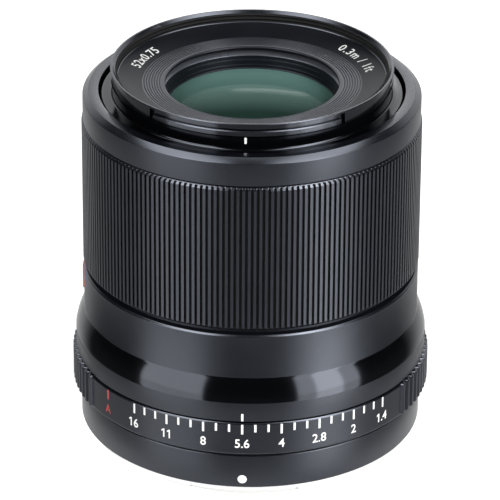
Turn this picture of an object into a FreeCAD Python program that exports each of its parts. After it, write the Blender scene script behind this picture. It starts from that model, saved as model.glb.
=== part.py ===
import FreeCAD, Part
import math
import os

# A fast prime lens for a mirrorless camera, as an assembly of separate pieces.
# Millimetres. The optical axis is Z, the front element looks towards +Z, and the
# origin is on the axis at the rear end of the bayonet. The index marks face -Y.
# Radii grow outwards from the filter thread, and heights stack up from the bayonet,
# so that a change of one wall or one length moves everything that rests on it.

os.makedirs("parts", exist_ok=True)

# Clearances
RUNNING = 0.08
PIN_PLAY = 0.06
SEAT_PLAY = 0.1
SHADOW_GAP = 0.25
REST_GAP = 0.3
BADGE_SEAT = 0.02
BOARD_PLAY = 0.6

# Walls and steps, from the filter thread outwards
FILTER_THREAD_RADIUS = 26.0
FILTER_WALL = 1.4
LEDGE_WIDTH = 1.9
LEDGE_GAP = 0.4
SHELL_STAND = 0.75
SHOULDER_WIDTH = 1.15
SHOULDER_HEIGHT = 0.95
SLEEVE_WALL = 1.62
FOCUS_RING_WALL = 1.2
RIB_DEPTH = 0.4
CROWN_STEP = 0.1
FRONT_SHELL_STEP = 0.15
BELT_STEP = 1.7
BELT_TAPER = 0.2
SCALE_STEP = 0.2
KNURL_HEIGHT = 0.45
APERTURE_RING_WALL = 2.5
REAR_BARREL_STEP = 0.8
REAR_BARREL_WALL = 2.9

# Heights, from the rear end of the bayonet forwards
BAYONET_DEPTH = 5.0
FLANGE_THICKNESS = 1.2
REAR_BARREL_HEIGHT = 7.55
REAR_EDGE_DROP = 0.45
REAR_EDGE_WIDTH = 1.0
REAR_EDGE_CHAMFER = 0.25
APERTURE_RING_HEIGHT = 6.94
BELT_HEIGHT = 3.95
FLARE_FOOT_HEIGHT = 2.05
FLARE_HEIGHT = 2.6
MID_BARREL_HEIGHT = 9.1
GRIP_GROOVE_HEIGHT = 0.97
FOCUS_RING_HEIGHT = 30.28
FRONT_SHELL_HEIGHT = 4.75
FILTER_RING_STAND = 5.5
THREAD_DEPTH = 2.2

# Ribs and knurl
FOCUS_RIBS = 192
CROWN_SHARE = 0.5
KNURLS_PER_TURN = 112
KNURL_RISE_SHARE = 0.25
KNURL_FALL_SHARE = 0.75
SCALE_HALF_ANGLE = 60.0

# Camera mount
FLANGE_RADIUS = 33.0
BAYONET_RADIUS = 25.7
BAYONET_WALL = 1.7
LUG_HEIGHT = 1.5
LUG_THICKNESS = 1.6
LUG_SETBACK = 0.6
LUG_COUNT = 4
LUG_ANGLE = 44.0
CONTACT_COUNT = 11
CONTACT_MIDDLE_ANGLE = 180.0
CONTACT_SPAN_ANGLE = 54.0
CONTACT_BLOCK_ANGLE = 58.0
CONTACT_SIDES = 6
CONTACT_WIDTH = 1.2
CONTACT_BLOCK_DEPTH = 3.4
CONTACT_PROUD = 0.25

# Hood bayonet on the filter ring
HOOD_POCKETS = 3
HOOD_POCKET_ANGLE = 84.4
HOOD_POCKET_DEPTH = 0.7
HOOD_POCKET_HEIGHT = 1.22
HOOD_LIP = 0.3

# Front glass and what frames it
FRONT_GLASS_RADIUS = 17.0
FRONT_GLASS_EDGE = 3.6
FRONT_GLASS_BULGE = 1.7
CROWN_RADIUS_SHARE = 0.72
FRONT_GLASS_DROP = 8.0
RETAINER_LIP = 0.8
RETAINER_WALL = 2.0
RETAINER_HEIGHT = 3.4
NECK_HEIGHT = 3.6
RETAINER_CHAMFER = 0.9
NAME_RING_OVERLAP = 0.2
NAME_RING_TUCK = 0.2
NAME_RING_EDGE = 0.44
NAME_RING_RISE = 1.4
NAME_RING_FLAT = 4.2
CELL_WALL = 2.4
CELL_SHOULDER = 1.2

# Hidden frames have flats instead of a full round, and hidden discs and pins have many sides
HIDDEN_SIDES = 18
HIDDEN_DISC_SIDES = 36
PIN_SIDES = 8
FULL_TURN = 360.0

# Iris
BLADE_COUNT = 9
IRIS_RADIUS = 8.9
IRIS_STOPPED_DOWN = 0.8
BLADE_WIDTH = 4.5
BLADE_THICKNESS = 0.1
BLADE_LAYER = 0.15
BLADE_SWEEP_ANGLE = 135.0
BLADE_START_ANGLE = 10.0
PIN_RADIUS = 0.5
EAR_MARGIN = 1.1
DRIVE_ARM = 2.8
DRIVE_RING_TURN_ANGLE = 16.0
DRIVE_RING_THICKNESS = 0.9
DRIVE_RING_BORE_STEP = 1.4
IRIS_FLOOR = 1.0
IRIS_RIM = 2.4
IRIS_BORE_STEP = 0.5
BLADE_STEPS = 8
SLOT_STEPS = 4

# Inner optical groups
FRONT_GROUP_RADIUS = 12.3
FRONT_GROUP_THICKNESS = 4.0
FRONT_GROUP_PITCH = 7.5
FRONT_GROUP_COUNT = 2
IRIS_TO_GLASS = 3.0
FOCUS_GLASS_RADIUS = 11.0
FOCUS_GLASS_THICKNESS = 3.4
FOCUS_GLASS_GAP = 1.0
CARRIAGE_WALL = 3.0
CARRIAGE_LIP = 0.6
FOCUS_TRAVEL = 5.0
CARRIAGE_CLEARANCE = 3.0
ROD_RADIUS = 1.0
EAR_WALL = 1.6
EAR_HEIGHT = 6.0
ROD_ANGLE = 60.0
SCREW_ANGLE = 150.0
SCREW_RADIUS = 1.2
SCREW_HOLE_PLAY = 0.3
MOTOR_RADIUS = 4.5
MOTOR_HEIGHT = 9.0

# Rear group
REAR_GLASS_RADIUS = 14.0
REAR_GLASS_THICKNESS = 4.0
REAR_GLASS_GAP = 4.0
REAR_CELL_WALL = 2.6
REAR_CELL_END = 3.0
REAR_GLASS_SETBACK = 1.0
REAR_PLATE_THICKNESS = 2.0
REAR_PLATE_BELOW_CARRIAGE = 4.0
COVER_THICKNESS = 1.2
COVER_WINDOW_X = 24.0
COVER_WINDOW_Y = 17.0
BOARD_THICKNESS = 1.0
BOARD_WIDTH = 8.0
BOARD_GAP_ANGLE = 40.0

# Plain badge plate on the side
BADGE_ANGLE = -95.0
BADGE_SPAN_ANGLE = 14.0
BADGE_HEIGHT = 5.5
BADGE_THICKNESS = 0.3
BADGE_DROP = 1.6

# Radii worked out from the walls
filter_outer = FILTER_THREAD_RADIUS + FILTER_WALL
ledge_outer = filter_outer + LEDGE_WIDTH
front_shell_bore = ledge_outer + LEDGE_GAP
sleeve_bore = front_shell_bore + SEAT_PLAY
sleeve_outer = sleeve_bore + SLEEVE_WALL
focus_bore = sleeve_outer + RUNNING
rib_root = focus_bore + FOCUS_RING_WALL
rib_crown = rib_root + RIB_DEPTH
body_radius = rib_crown - CROWN_STEP
front_shell_radius = body_radius - FRONT_SHELL_STEP
belt_radius = body_radius + BELT_STEP
scale_radius = belt_radius + SCALE_STEP
knurl_radius = scale_radius + KNURL_HEIGHT
aperture_bore = scale_radius - APERTURE_RING_WALL
lower_sleeve = aperture_bore - RUNNING
rear_barrel_radius = body_radius + REAR_BARREL_STEP

# Heights worked out from the stack
flange_front = BAYONET_DEPTH + FLANGE_THICKNESS
rear_barrel_top = flange_front + REAR_BARREL_HEIGHT
aperture_bottom = rear_barrel_top + SHADOW_GAP
aperture_top = aperture_bottom + APERTURE_RING_HEIGHT
belt_bottom = aperture_top + SHADOW_GAP
belt_top = belt_bottom + BELT_HEIGHT
flare_foot = belt_top + FLARE_FOOT_HEIGHT
flare_top = flare_foot + FLARE_HEIGHT
mid_top = flare_top + MID_BARREL_HEIGHT
focus_bottom = mid_top + GRIP_GROOVE_HEIGHT
focus_top = focus_bottom + FOCUS_RING_HEIGHT
sleeve_top = focus_top + SHADOW_GAP
ledge_height = sleeve_top + FRONT_SHELL_HEIGHT
rim_height = ledge_height + FILTER_RING_STAND
thread_bottom = rim_height - THREAD_DEPTH
name_ring_bottom = thread_bottom - NAME_RING_RISE - NAME_RING_EDGE
glass_edge_top = rim_height - FRONT_GLASS_DROP
glass_edge_bottom = glass_edge_top - FRONT_GLASS_EDGE

# Iris places
blade_outer = IRIS_RADIUS + BLADE_WIDTH
pivot_radius = blade_outer + EAR_MARGIN + PIN_RADIUS + REST_GAP
blade_turn = 2 * math.degrees(
    math.asin((IRIS_RADIUS - IRIS_STOPPED_DOWN) / (2 * pivot_radius))
)
blade_ratio = blade_turn / DRIVE_RING_TURN_ANGLE
pin_reach = math.hypot(pivot_radius + DRIVE_ARM * math.sin(math.radians(blade_turn)), DRIVE_ARM)
drive_ring_radius = pin_reach + PIN_RADIUS + EAR_MARGIN
iris_rim_inner = drive_ring_radius + REST_GAP
cell_radius = iris_rim_inner + IRIS_RIM
rod_circle = cell_radius + ROD_RADIUS
front_floor = glass_edge_bottom - FRONT_GROUP_COUNT * FRONT_GROUP_PITCH - IRIS_TO_GLASS
drive_ring_top = front_floor - SEAT_PLAY
drive_ring_bottom = drive_ring_top - DRIVE_RING_THICKNESS
blades_top = drive_ring_bottom - SEAT_PLAY
blades_bottom = blades_top - BLADE_COUNT * BLADE_LAYER
iris_floor_top = blades_bottom - SEAT_PLAY
iris_bottom = iris_floor_top - IRIS_FLOOR

# Focus group places
carriage_height = 2 * FOCUS_GLASS_THICKNESS + FOCUS_GLASS_GAP + CARRIAGE_LIP
carriage_bottom = iris_bottom - CARRIAGE_CLEARANCE - FOCUS_TRAVEL - carriage_height
rear_plate_top = carriage_bottom - REAR_PLATE_BELOW_CARRIAGE
rear_plate_bottom = rear_plate_top - REAR_PLATE_THICKNESS


def V(x, y, z):
    return FreeCAD.Vector(x, y, z)


def around(radius, angle, z=0.0):
    """Point at an angle seen from above: 0 faces -Y, and positive angles turn to +X."""
    a = math.radians(angle)
    return V(radius * math.sin(a), -radius * math.cos(a), z)


def face_of(points):
    """Flat face inside a closed line of points."""
    return Part.Face(Part.makePolygon(points + points[:1]))


def turned(profile):
    """Solid of revolution about the optical axis from (radius, height) points."""
    face = face_of([V(r, 0, z) for r, z in profile])
    return face.revolve(V(0, 0, 0), V(0, 0, 1), FULL_TURN)


def disc(radius, z, height):
    return Part.makeCylinder(radius, height, V(0, 0, z))


def flats(radius, z, height, sides=HIDDEN_SIDES):
    """Prism with flats around the axis; the radius is the one that touches the flats."""
    corner = radius / math.cos(math.pi / sides)
    points = [around(corner, FULL_TURN * i / sides, z) for i in range(sides)]
    return face_of(points).extrude(V(0, 0, height))


def peg(radius, centre, height, sides=PIN_SIDES):
    """Upright pin, hole or hidden disc with sides; the radius reaches its corners."""
    points = []
    for i in range(sides):
        turn = 2 * math.pi * i / sides
        points.append(centre + V(radius * math.cos(turn), radius * math.sin(turn), 0))
    return face_of(points).extrude(V(0, 0, height))


def hidden_disc(radius, z, height):
    return peg(radius, V(0, 0, z), height, HIDDEN_DISC_SIDES)


def sector(inner, outer, z, height, start, end):
    """Piece of a ring between two angles, with true arcs inside and out."""
    middle = (start + end) / 2
    edges = [
        Part.Arc(around(inner, start, z), around(inner, middle, z), around(inner, end, z)),
        Part.LineSegment(around(inner, end, z), around(outer, end, z)),
        Part.Arc(around(outer, end, z), around(outer, middle, z), around(outer, start, z)),
        Part.LineSegment(around(outer, start, z), around(inner, start, z)),
    ]
    wire = Part.Wire([edge.toShape() for edge in edges])
    return Part.Face(wire).extrude(V(0, 0, height))


def turned_copy(solid, angle):
    """Copy of a solid, turned about the optical axis."""
    copy = solid.copy()
    copy.rotate(V(0, 0, 0), V(0, 0, 1), angle)
    return copy


def box(x0, x1, y0, y1, z0, z1):
    return Part.makeBox(x1 - x0, y1 - y0, z1 - z0, V(x0, y0, z0))


def save(name, *solids):
    """Write one node as a STEP file; several solids stay separate in it."""
    shape = solids[0] if len(solids) == 1 else Part.makeCompound(list(solids))
    shape.exportStep("parts/" + name + ".step")


def mount_ring():
    """Chromed bayonet: a flat flange, a short tube and lugs that lock in the camera."""
    ring = turned([
        (0, 0),
        (BAYONET_RADIUS, 0),
        (BAYONET_RADIUS, BAYONET_DEPTH),
        (FLANGE_RADIUS, BAYONET_DEPTH),
        (FLANGE_RADIUS, flange_front),
        (0, flange_front),
    ])
    ring = ring.cut(flats(BAYONET_RADIUS - BAYONET_WALL, 0, flange_front, HIDDEN_DISC_SIDES))
    lug_outer = BAYONET_RADIUS + LUG_HEIGHT
    lug_root = BAYONET_RADIUS - BAYONET_WALL / 2
    for i in range(LUG_COUNT):
        middle = FULL_TURN * (i + 0.5) / LUG_COUNT
        lug = sector(lug_root, lug_outer, LUG_SETBACK, LUG_THICKNESS,
                     middle - LUG_ANGLE / 2, middle + LUG_ANGLE / 2)
        ring = ring.fuse(lug)
    return ring


def contact_block():
    """Curved block on the rear cover that carries the electric contacts."""
    outer = BAYONET_RADIUS - BAYONET_WALL - SEAT_PLAY
    start = CONTACT_MIDDLE_ANGLE - CONTACT_BLOCK_ANGLE / 2
    height = REAR_CELL_END - COVER_THICKNESS - CONTACT_PROUD
    return sector(outer - CONTACT_BLOCK_DEPTH, outer, CONTACT_PROUD, height,
                  start, start + CONTACT_BLOCK_ANGLE)


def contact_pads():
    """Flat contact tips in a row on the rear of the block."""
    middle = BAYONET_RADIUS - BAYONET_WALL - SEAT_PLAY - CONTACT_BLOCK_DEPTH / 2
    pads = []
    for i in range(CONTACT_COUNT):
        share = i / (CONTACT_COUNT - 1) - 0.5
        foot = around(middle, CONTACT_MIDDLE_ANGLE + CONTACT_SPAN_ANGLE * share, 0)
        pads.append(peg(CONTACT_WIDTH / 2, foot, CONTACT_PROUD, CONTACT_SIDES))
    return pads


def rear_barrel():
    """Rear barrel with a sunk, chamfered front edge; its bore has flats."""
    edge = rear_barrel_top - REAR_EDGE_DROP
    barrel = turned([
        (0, flange_front),
        (rear_barrel_radius, flange_front),
        (rear_barrel_radius, edge - REAR_EDGE_CHAMFER),
        (rear_barrel_radius - REAR_EDGE_CHAMFER, edge),
        (rear_barrel_radius - REAR_EDGE_WIDTH, edge),
        (rear_barrel_radius - REAR_EDGE_WIDTH, rear_barrel_top),
        (0, rear_barrel_top),
    ])
    bore = rear_barrel_radius - REAR_BARREL_WALL
    return barrel.cut(flats(bore, flange_front, REAR_BARREL_HEIGHT))


def aperture_ring():
    """Ring with a smooth face for the scale and a coarse knurl round the rest."""
    pitch = FULL_TURN / KNURLS_PER_TURN
    count = int((FULL_TURN - 2 * SCALE_HALF_ANGLE) / pitch)
    first = (FULL_TURN - count * pitch) / 2
    points = []
    for i in range(count):
        start = first + i * pitch
        points.append(around(scale_radius, start, aperture_bottom))
        points.append(around(knurl_radius, start + pitch * KNURL_RISE_SHARE, aperture_bottom))
        points.append(around(knurl_radius, start + pitch * KNURL_FALL_SHARE, aperture_bottom))
    points.append(around(scale_radius, first + count * pitch, aperture_bottom))
    knurl = Part.makePolygon(points)
    face_arc = Part.Arc(points[-1], around(scale_radius, 0, aperture_bottom), points[0])
    outline = Part.Wire(knurl.Edges + [face_arc.toShape()])
    ring = Part.Face(outline).extrude(V(0, 0, APERTURE_RING_HEIGHT))
    return ring.cut(disc(aperture_bore, aperture_bottom, APERTURE_RING_HEIGHT))


def fixed_barrel():
    """Main barrel: lower sleeve, belt, flare, mid barrel and the sleeve under the focus ring."""
    barrel = turned([
        (0, rear_barrel_top),
        (lower_sleeve, rear_barrel_top),
        (lower_sleeve, belt_bottom),
        (belt_radius, belt_bottom),
        (belt_radius, belt_top),
        (belt_radius - BELT_TAPER, flare_foot),
        (body_radius, flare_top),
        (body_radius, mid_top),
        (sleeve_outer, mid_top),
        (sleeve_outer, sleeve_top),
        (0, sleeve_top),
    ])
    return barrel.cut(flats(sleeve_bore, rear_barrel_top, sleeve_top - rear_barrel_top))


def side_badge():
    """Plain curved plate on the side of the mid barrel."""
    top = mid_top - BADGE_DROP
    inner = body_radius + BADGE_SEAT
    return sector(inner, inner + BADGE_THICKNESS, top - BADGE_HEIGHT, BADGE_HEIGHT,
                  BADGE_ANGLE - BADGE_SPAN_ANGLE / 2, BADGE_ANGLE + BADGE_SPAN_ANGLE / 2)


def focus_ring():
    """Ribbed focus ring: every rib has a flat crown, and the grooves between are V-shaped."""
    pitch = FULL_TURN / FOCUS_RIBS
    crown = pitch * CROWN_SHARE / 2
    points = []
    for i in range(FOCUS_RIBS):
        middle = i * pitch
        points.append(around(rib_crown, middle - crown, focus_bottom))
        points.append(around(rib_crown, middle + crown, focus_bottom))
        points.append(around(rib_root, middle + pitch / 2, focus_bottom))
    ring = face_of(points).extrude(V(0, 0, FOCUS_RING_HEIGHT))
    return ring.cut(disc(focus_bore, focus_bottom, FOCUS_RING_HEIGHT))


def front_shell():
    """Smooth front band with a bevelled shoulder, a little prouder than the ledge inside it."""
    shell_top = ledge_height + SHELL_STAND
    return turned([
        (front_shell_bore, sleeve_top),
        (front_shell_radius, sleeve_top),
        (front_shell_radius, shell_top - SHOULDER_HEIGHT),
        (front_shell_radius - SHOULDER_WIDTH, shell_top),
        (front_shell_bore, shell_top),
    ])


def filter_ring():
    """Ring with the filter thread inside and the hood bayonet pockets outside."""
    ring = turned([
        (0, sleeve_top),
        (ledge_outer, sleeve_top),
        (ledge_outer, ledge_height),
        (filter_outer, ledge_height),
        (filter_outer, rim_height),
        (0, rim_height),
    ])
    ring = ring.cut(disc(FILTER_THREAD_RADIUS, thread_bottom, THREAD_DEPTH))
    pocket_radius = FILTER_THREAD_RADIUS + NAME_RING_TUCK + SEAT_PLAY
    ring = ring.cut(flats(pocket_radius, sleeve_top, thread_bottom - sleeve_top))
    top = rim_height - HOOD_LIP
    half = HOOD_POCKET_ANGLE / 2
    for i in range(HOOD_POCKETS):
        middle = FULL_TURN * i / HOOD_POCKETS
        pocket = sector(filter_outer - HOOD_POCKET_DEPTH, filter_outer + HOOD_POCKET_DEPTH,
                        top - HOOD_POCKET_HEIGHT, HOOD_POCKET_HEIGHT, middle - half, middle + half)
        ring = ring.cut(pocket)
    return ring


def name_ring():
    """Funnel that tucks under the filter thread, with a flat inner part."""
    inner = FRONT_GLASS_RADIUS - NAME_RING_OVERLAP
    flat_height = name_ring_bottom + NAME_RING_EDGE
    plate = flats(FILTER_THREAD_RADIUS + NAME_RING_TUCK, name_ring_bottom,
                  thread_bottom - name_ring_bottom)
    mouth = turned([
        (0, name_ring_bottom),
        (inner, name_ring_bottom),
        (inner, flat_height),
        (inner + NAME_RING_FLAT, flat_height),
        (FILTER_THREAD_RADIUS, thread_bottom),
        (0, thread_bottom),
    ])
    return plate.cut(mouth)


def front_retainer():
    """Screwed ring with a chamfered mouth that holds the front element down."""
    inner = FRONT_GLASS_RADIUS - RETAINER_LIP
    top = glass_edge_top + RETAINER_HEIGHT
    ring = flats(FRONT_GLASS_RADIUS + RETAINER_WALL, glass_edge_top, RETAINER_HEIGHT)
    mouth = turned([
        (0, glass_edge_top),
        (inner, glass_edge_top),
        (inner, top - RETAINER_CHAMFER),
        (inner + RETAINER_CHAMFER, top),
        (0, top),
    ])
    return ring.cut(mouth)


def front_element():
    """Convex front lens with a flat land under the retainer; a cone stands for its sphere."""
    return turned([
        (0, glass_edge_bottom),
        (FRONT_GLASS_RADIUS, glass_edge_bottom),
        (FRONT_GLASS_RADIUS, glass_edge_top),
        (FRONT_GLASS_RADIUS - RETAINER_LIP, glass_edge_top),
        (FRONT_GLASS_RADIUS * CROWN_RADIUS_SHARE, glass_edge_top + FRONT_GLASS_BULGE),
        (0, glass_edge_top + FRONT_GLASS_BULGE),
    ])


def front_cell():
    """Main frame of the front optics, held in the top of the barrel's sleeve."""
    flange = (sleeve_bore - SEAT_PLAY) * math.cos(math.pi / HIDDEN_SIDES)
    neck = FRONT_GLASS_RADIUS + RETAINER_WALL + SEAT_PLAY + CELL_WALL
    neck_top = glass_edge_top + NECK_HEIGHT
    flange_bottom = glass_edge_bottom - CELL_SHOULDER
    cell = flats(cell_radius, front_floor, flange_bottom - front_floor)
    cell = cell.fuse(flats(flange, flange_bottom, sleeve_top - flange_bottom))
    cell = cell.fuse(flats(neck, sleeve_top, neck_top - sleeve_top))
    bore_bottom = front_floor + CELL_SHOULDER
    cuts = [
        flats(FRONT_GROUP_RADIUS + SEAT_PLAY, bore_bottom, neck_top - bore_bottom),
        flats(IRIS_RADIUS + IRIS_BORE_STEP, front_floor, CELL_WALL),
        flats(FRONT_GLASS_RADIUS + SEAT_PLAY, glass_edge_bottom, neck_top - glass_edge_bottom),
        flats(FRONT_GLASS_RADIUS + RETAINER_WALL + SEAT_PLAY, glass_edge_top, NECK_HEIGHT),
    ]
    for hollow in cuts:
        cell = cell.cut(hollow)
    boss_radius = IRIS_RADIUS + IRIS_BORE_STEP + DRIVE_RING_BORE_STEP
    boss_height = front_floor - drive_ring_bottom
    boss = hidden_disc(boss_radius, drive_ring_bottom, boss_height)
    boss = boss.cut(flats(IRIS_RADIUS + IRIS_BORE_STEP, drive_ring_bottom, boss_height))
    return cell.fuse(boss).removeSplitter()


def front_group_glass():
    """Inner elements of the front group, each a disc in the cell's bore."""
    elements = []
    for i in range(FRONT_GROUP_COUNT):
        z = glass_edge_bottom - (i + 1) * FRONT_GROUP_PITCH
        elements.append(hidden_disc(FRONT_GROUP_RADIUS, z, FRONT_GROUP_THICKNESS))
    return elements


def iris_housing():
    """Floor that the blades turn on, with a rim that carries it on the front cell."""
    floor_radius = rod_circle + ROD_RADIUS + EAR_WALL
    housing = flats(floor_radius, iris_bottom, IRIS_FLOOR)
    rim_height_above = front_floor - iris_floor_top
    rim = flats(cell_radius, iris_floor_top, rim_height_above)
    rim = rim.cut(flats(iris_rim_inner, iris_floor_top, rim_height_above))
    housing = housing.fuse(rim)
    housing = housing.cut(flats(IRIS_RADIUS + IRIS_BORE_STEP, iris_bottom, IRIS_FLOOR))
    hole = (PIN_RADIUS + PIN_PLAY) / math.cos(math.pi / PIN_SIDES)
    for i in range(BLADE_COUNT):
        centre = around(pivot_radius, FULL_TURN * i / BLADE_COUNT, iris_bottom)
        housing = housing.cut(peg(hole, centre, IRIS_FLOOR))
    return housing


def drive_pin_at(turn):
    """Place of the first blade's drive pin, in the ring's plane, after the blade has turned."""
    b = math.radians(turn)
    return V(-DRIVE_ARM * math.cos(b), -(pivot_radius + DRIVE_ARM * math.sin(b)), 0)


def slot_outline(z):
    """Cam slot of the first blade: the pin's path seen from the turning ring, made wide."""
    half_width = PIN_RADIUS + PIN_PLAY
    axis = V(0, 0, 1)
    path = []
    for i in range(SLOT_STEPS + 1):
        share = i / SLOT_STEPS
        pin = drive_pin_at(blade_turn * share)
        turn = FreeCAD.Rotation(axis, -DRIVE_RING_TURN_ANGLE * share)
        path.append(turn.multVec(pin))
    left, right = [], []
    for i, point in enumerate(path):
        along = path[min(i + 1, SLOT_STEPS)] - path[max(i - 1, 0)]
        along.normalize()
        if i == 0:
            point = point - along * half_width
        if i == SLOT_STEPS:
            point = point + along * half_width
        side = axis.cross(along) * half_width
        left.append(point + side + V(0, 0, z))
        right.append(point - side + V(0, 0, z))
    return left + right[::-1]


def iris_drive_ring():
    """Ring that turns on the front cell's boss and moves every blade by a cam slot."""
    ring = flats(drive_ring_radius, drive_ring_bottom, DRIVE_RING_THICKNESS)
    bore = IRIS_RADIUS + IRIS_BORE_STEP + DRIVE_RING_BORE_STEP + RUNNING
    ring = ring.cut(disc(bore, drive_ring_bottom, DRIVE_RING_THICKNESS))
    slot = face_of(slot_outline(drive_ring_bottom)).extrude(V(0, 0, DRIVE_RING_THICKNESS))
    for i in range(BLADE_COUNT):
        ring = ring.cut(turned_copy(slot, FULL_TURN * i / BLADE_COUNT))
    return ring


def iris_blade(index):
    """One curved leaf in its own layer, with a pivot pin below and a drive pin above."""
    z = blades_bottom + index * BLADE_LAYER
    step = (BLADE_SWEEP_ANGLE - BLADE_START_ANGLE) / BLADE_STEPS
    inner = [around(IRIS_RADIUS, BLADE_START_ANGLE + step * i, z) for i in range(BLADE_STEPS + 1)]
    tip = BLADE_SWEEP_ANGLE - step / 2
    outer = [around(blade_outer, tip - step * i, z) for i in range(BLADE_STEPS)]
    reach = EAR_MARGIN
    ear = [
        V(reach, -(pivot_radius + reach), z),
        V(-DRIVE_ARM - reach, -(pivot_radius + reach), z),
        V(-DRIVE_ARM - reach, -(pivot_radius - reach), z),
    ]
    leaf = face_of(inner + outer + ear).extrude(V(0, 0, BLADE_THICKNESS))
    pivot_foot = V(0, -pivot_radius, iris_bottom)
    pivot = Part.makeCylinder(PIN_RADIUS, z + BLADE_THICKNESS - iris_bottom, pivot_foot)
    drive = peg(PIN_RADIUS, drive_pin_at(0) + V(0, 0, z), drive_ring_top - z)
    blade = leaf.fuse(pivot).fuse(drive).removeSplitter()
    return turned_copy(blade, FULL_TURN * index / BLADE_COUNT)


def focus_carriage():
    """Frame of the focus group, with ears for the guide rods and the lead screw."""
    body_r = FOCUS_GLASS_RADIUS + SEAT_PLAY + CARRIAGE_WALL
    frame = flats(body_r, carriage_bottom, carriage_height)
    middle_z = carriage_bottom + (carriage_height - EAR_HEIGHT) / 2
    ear_half = ROD_RADIUS + EAR_WALL
    for angle in (ROD_ANGLE, ROD_ANGLE + 180, SCREW_ANGLE):
        ear = box(-ear_half, ear_half, -rod_circle - ear_half, -FOCUS_GLASS_RADIUS,
                  middle_z, middle_z + EAR_HEIGHT)
        frame = frame.fuse(turned_copy(ear, angle))
    frame = frame.cut(flats(FOCUS_GLASS_RADIUS + SEAT_PLAY, carriage_bottom + CARRIAGE_LIP,
                            carriage_height))
    frame = frame.cut(flats(FOCUS_GLASS_RADIUS - CARRIAGE_LIP, carriage_bottom, carriage_height))
    for angle in (ROD_ANGLE, ROD_ANGLE + 180):
        frame = frame.cut(Part.makeCylinder(ROD_RADIUS + RUNNING, EAR_HEIGHT,
                                            around(rod_circle, angle, middle_z)))
    nut = Part.makeCylinder(SCREW_RADIUS + RUNNING, EAR_HEIGHT,
                            around(rod_circle, SCREW_ANGLE, middle_z))
    return frame.cut(nut).removeSplitter()


def focus_group_glass():
    """Two elements in the carriage."""
    first = carriage_bottom + CARRIAGE_LIP
    second = first + FOCUS_GLASS_THICKNESS + FOCUS_GLASS_GAP
    return [hidden_disc(FOCUS_GLASS_RADIUS, z, FOCUS_GLASS_THICKNESS) for z in (first, second)]


def guide_rods():
    """Rods between the rear cell and the iris housing that keep the carriage straight."""
    length = iris_bottom - rear_plate_top
    return [
        Part.makeCylinder(ROD_RADIUS, length, around(rod_circle, angle, rear_plate_top))
        for angle in (ROD_ANGLE, ROD_ANGLE + 180)
    ]


def lead_screw():
    """Screw that the motor turns to move the carriage."""
    start = rear_plate_bottom
    length = iris_bottom - REST_GAP - start
    return Part.makeCylinder(SCREW_RADIUS, length, around(rod_circle, SCREW_ANGLE, start))


def focus_motor():
    """Stepping motor under the rear cell's plate."""
    base = around(rod_circle, SCREW_ANGLE, rear_plate_bottom - MOTOR_HEIGHT)
    return peg(MOTOR_RADIUS, base, MOTOR_HEIGHT - REST_GAP, HIDDEN_SIDES)


def rear_cell():
    """Frame of the rear optics, with a plate that fills the sleeve and carries the rods."""
    plate = (sleeve_bore - SEAT_PLAY) * math.cos(math.pi / HIDDEN_SIDES)
    tube = REAR_GLASS_RADIUS + SEAT_PLAY + REAR_CELL_WALL
    cell = flats(plate, rear_plate_bottom, REAR_PLATE_THICKNESS)
    cell = cell.fuse(flats(tube, REAR_CELL_END, rear_plate_bottom - REAR_CELL_END))
    cell = cell.cut(flats(REAR_GLASS_RADIUS + SEAT_PLAY, REAR_CELL_END, rear_plate_top))
    hole = Part.makeCylinder(SCREW_RADIUS + SCREW_HOLE_PLAY, REAR_PLATE_THICKNESS,
                             around(rod_circle, SCREW_ANGLE, rear_plate_bottom))
    return cell.cut(hole).removeSplitter()


def rear_group_glass():
    """Two elements in the rear cell."""
    first = REAR_CELL_END + REAR_GLASS_SETBACK
    second = first + REAR_GLASS_THICKNESS + REAR_GLASS_GAP
    return [hidden_disc(REAR_GLASS_RADIUS, z, REAR_GLASS_THICKNESS) for z in (first, second)]


def rear_cover():
    """Cover that closes the mount, with a rectangular window behind the last element."""
    bottom = REAR_CELL_END - COVER_THICKNESS
    plate = hidden_disc(BAYONET_RADIUS - BAYONET_WALL - SEAT_PLAY, bottom, COVER_THICKNESS)
    window = box(-COVER_WINDOW_X / 2, COVER_WINDOW_X / 2, -COVER_WINDOW_Y / 2,
                 COVER_WINDOW_Y / 2, bottom, REAR_CELL_END)
    return plate.cut(window)


def main_board():
    """Ring-shaped circuit board above the mount, open on one side."""
    inner = REAR_GLASS_RADIUS + SEAT_PLAY + REAR_CELL_WALL + BOARD_PLAY
    z = flange_front + REST_GAP
    board = flats(inner + BOARD_WIDTH, z, BOARD_THICKNESS).cut(flats(inner, z, BOARD_THICKNESS))
    gap = sector(inner - BOARD_WIDTH, inner + 2 * BOARD_WIDTH, z, BOARD_THICKNESS,
                 -BOARD_GAP_ANGLE / 2, BOARD_GAP_ANGLE / 2)
    return board.cut(gap)


def build():
    """Make every node and write its file."""
    save("mount_ring", mount_ring())
    save("contact_block", contact_block())
    save("contact_pads", *contact_pads())
    save("rear_barrel", rear_barrel())
    save("aperture_ring", aperture_ring())
    save("fixed_barrel", fixed_barrel())
    save("side_badge", side_badge())
    save("focus_ring", focus_ring())
    save("front_shell", front_shell())
    save("filter_ring", filter_ring())
    save("name_ring", name_ring())
    save("front_retainer", front_retainer())
    save("front_element", front_element())
    save("front_cell", front_cell())
    save("front_group_glass", *front_group_glass())
    save("iris_housing", iris_housing())
    save("iris_drive_ring", iris_drive_ring())
    for index in range(BLADE_COUNT):
        save("iris_blade_" + str(index + 1), iris_blade(index))
    save("focus_carriage", focus_carriage())
    save("focus_group_glass", *focus_group_glass())
    save("guide_rods", *guide_rods())
    save("lead_screw", lead_screw())
    save("focus_motor", focus_motor())
    save("rear_cell", rear_cell())
    save("rear_group_glass", *rear_group_glass())
    save("rear_cover", rear_cover())
    save("main_board", main_board())


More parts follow.
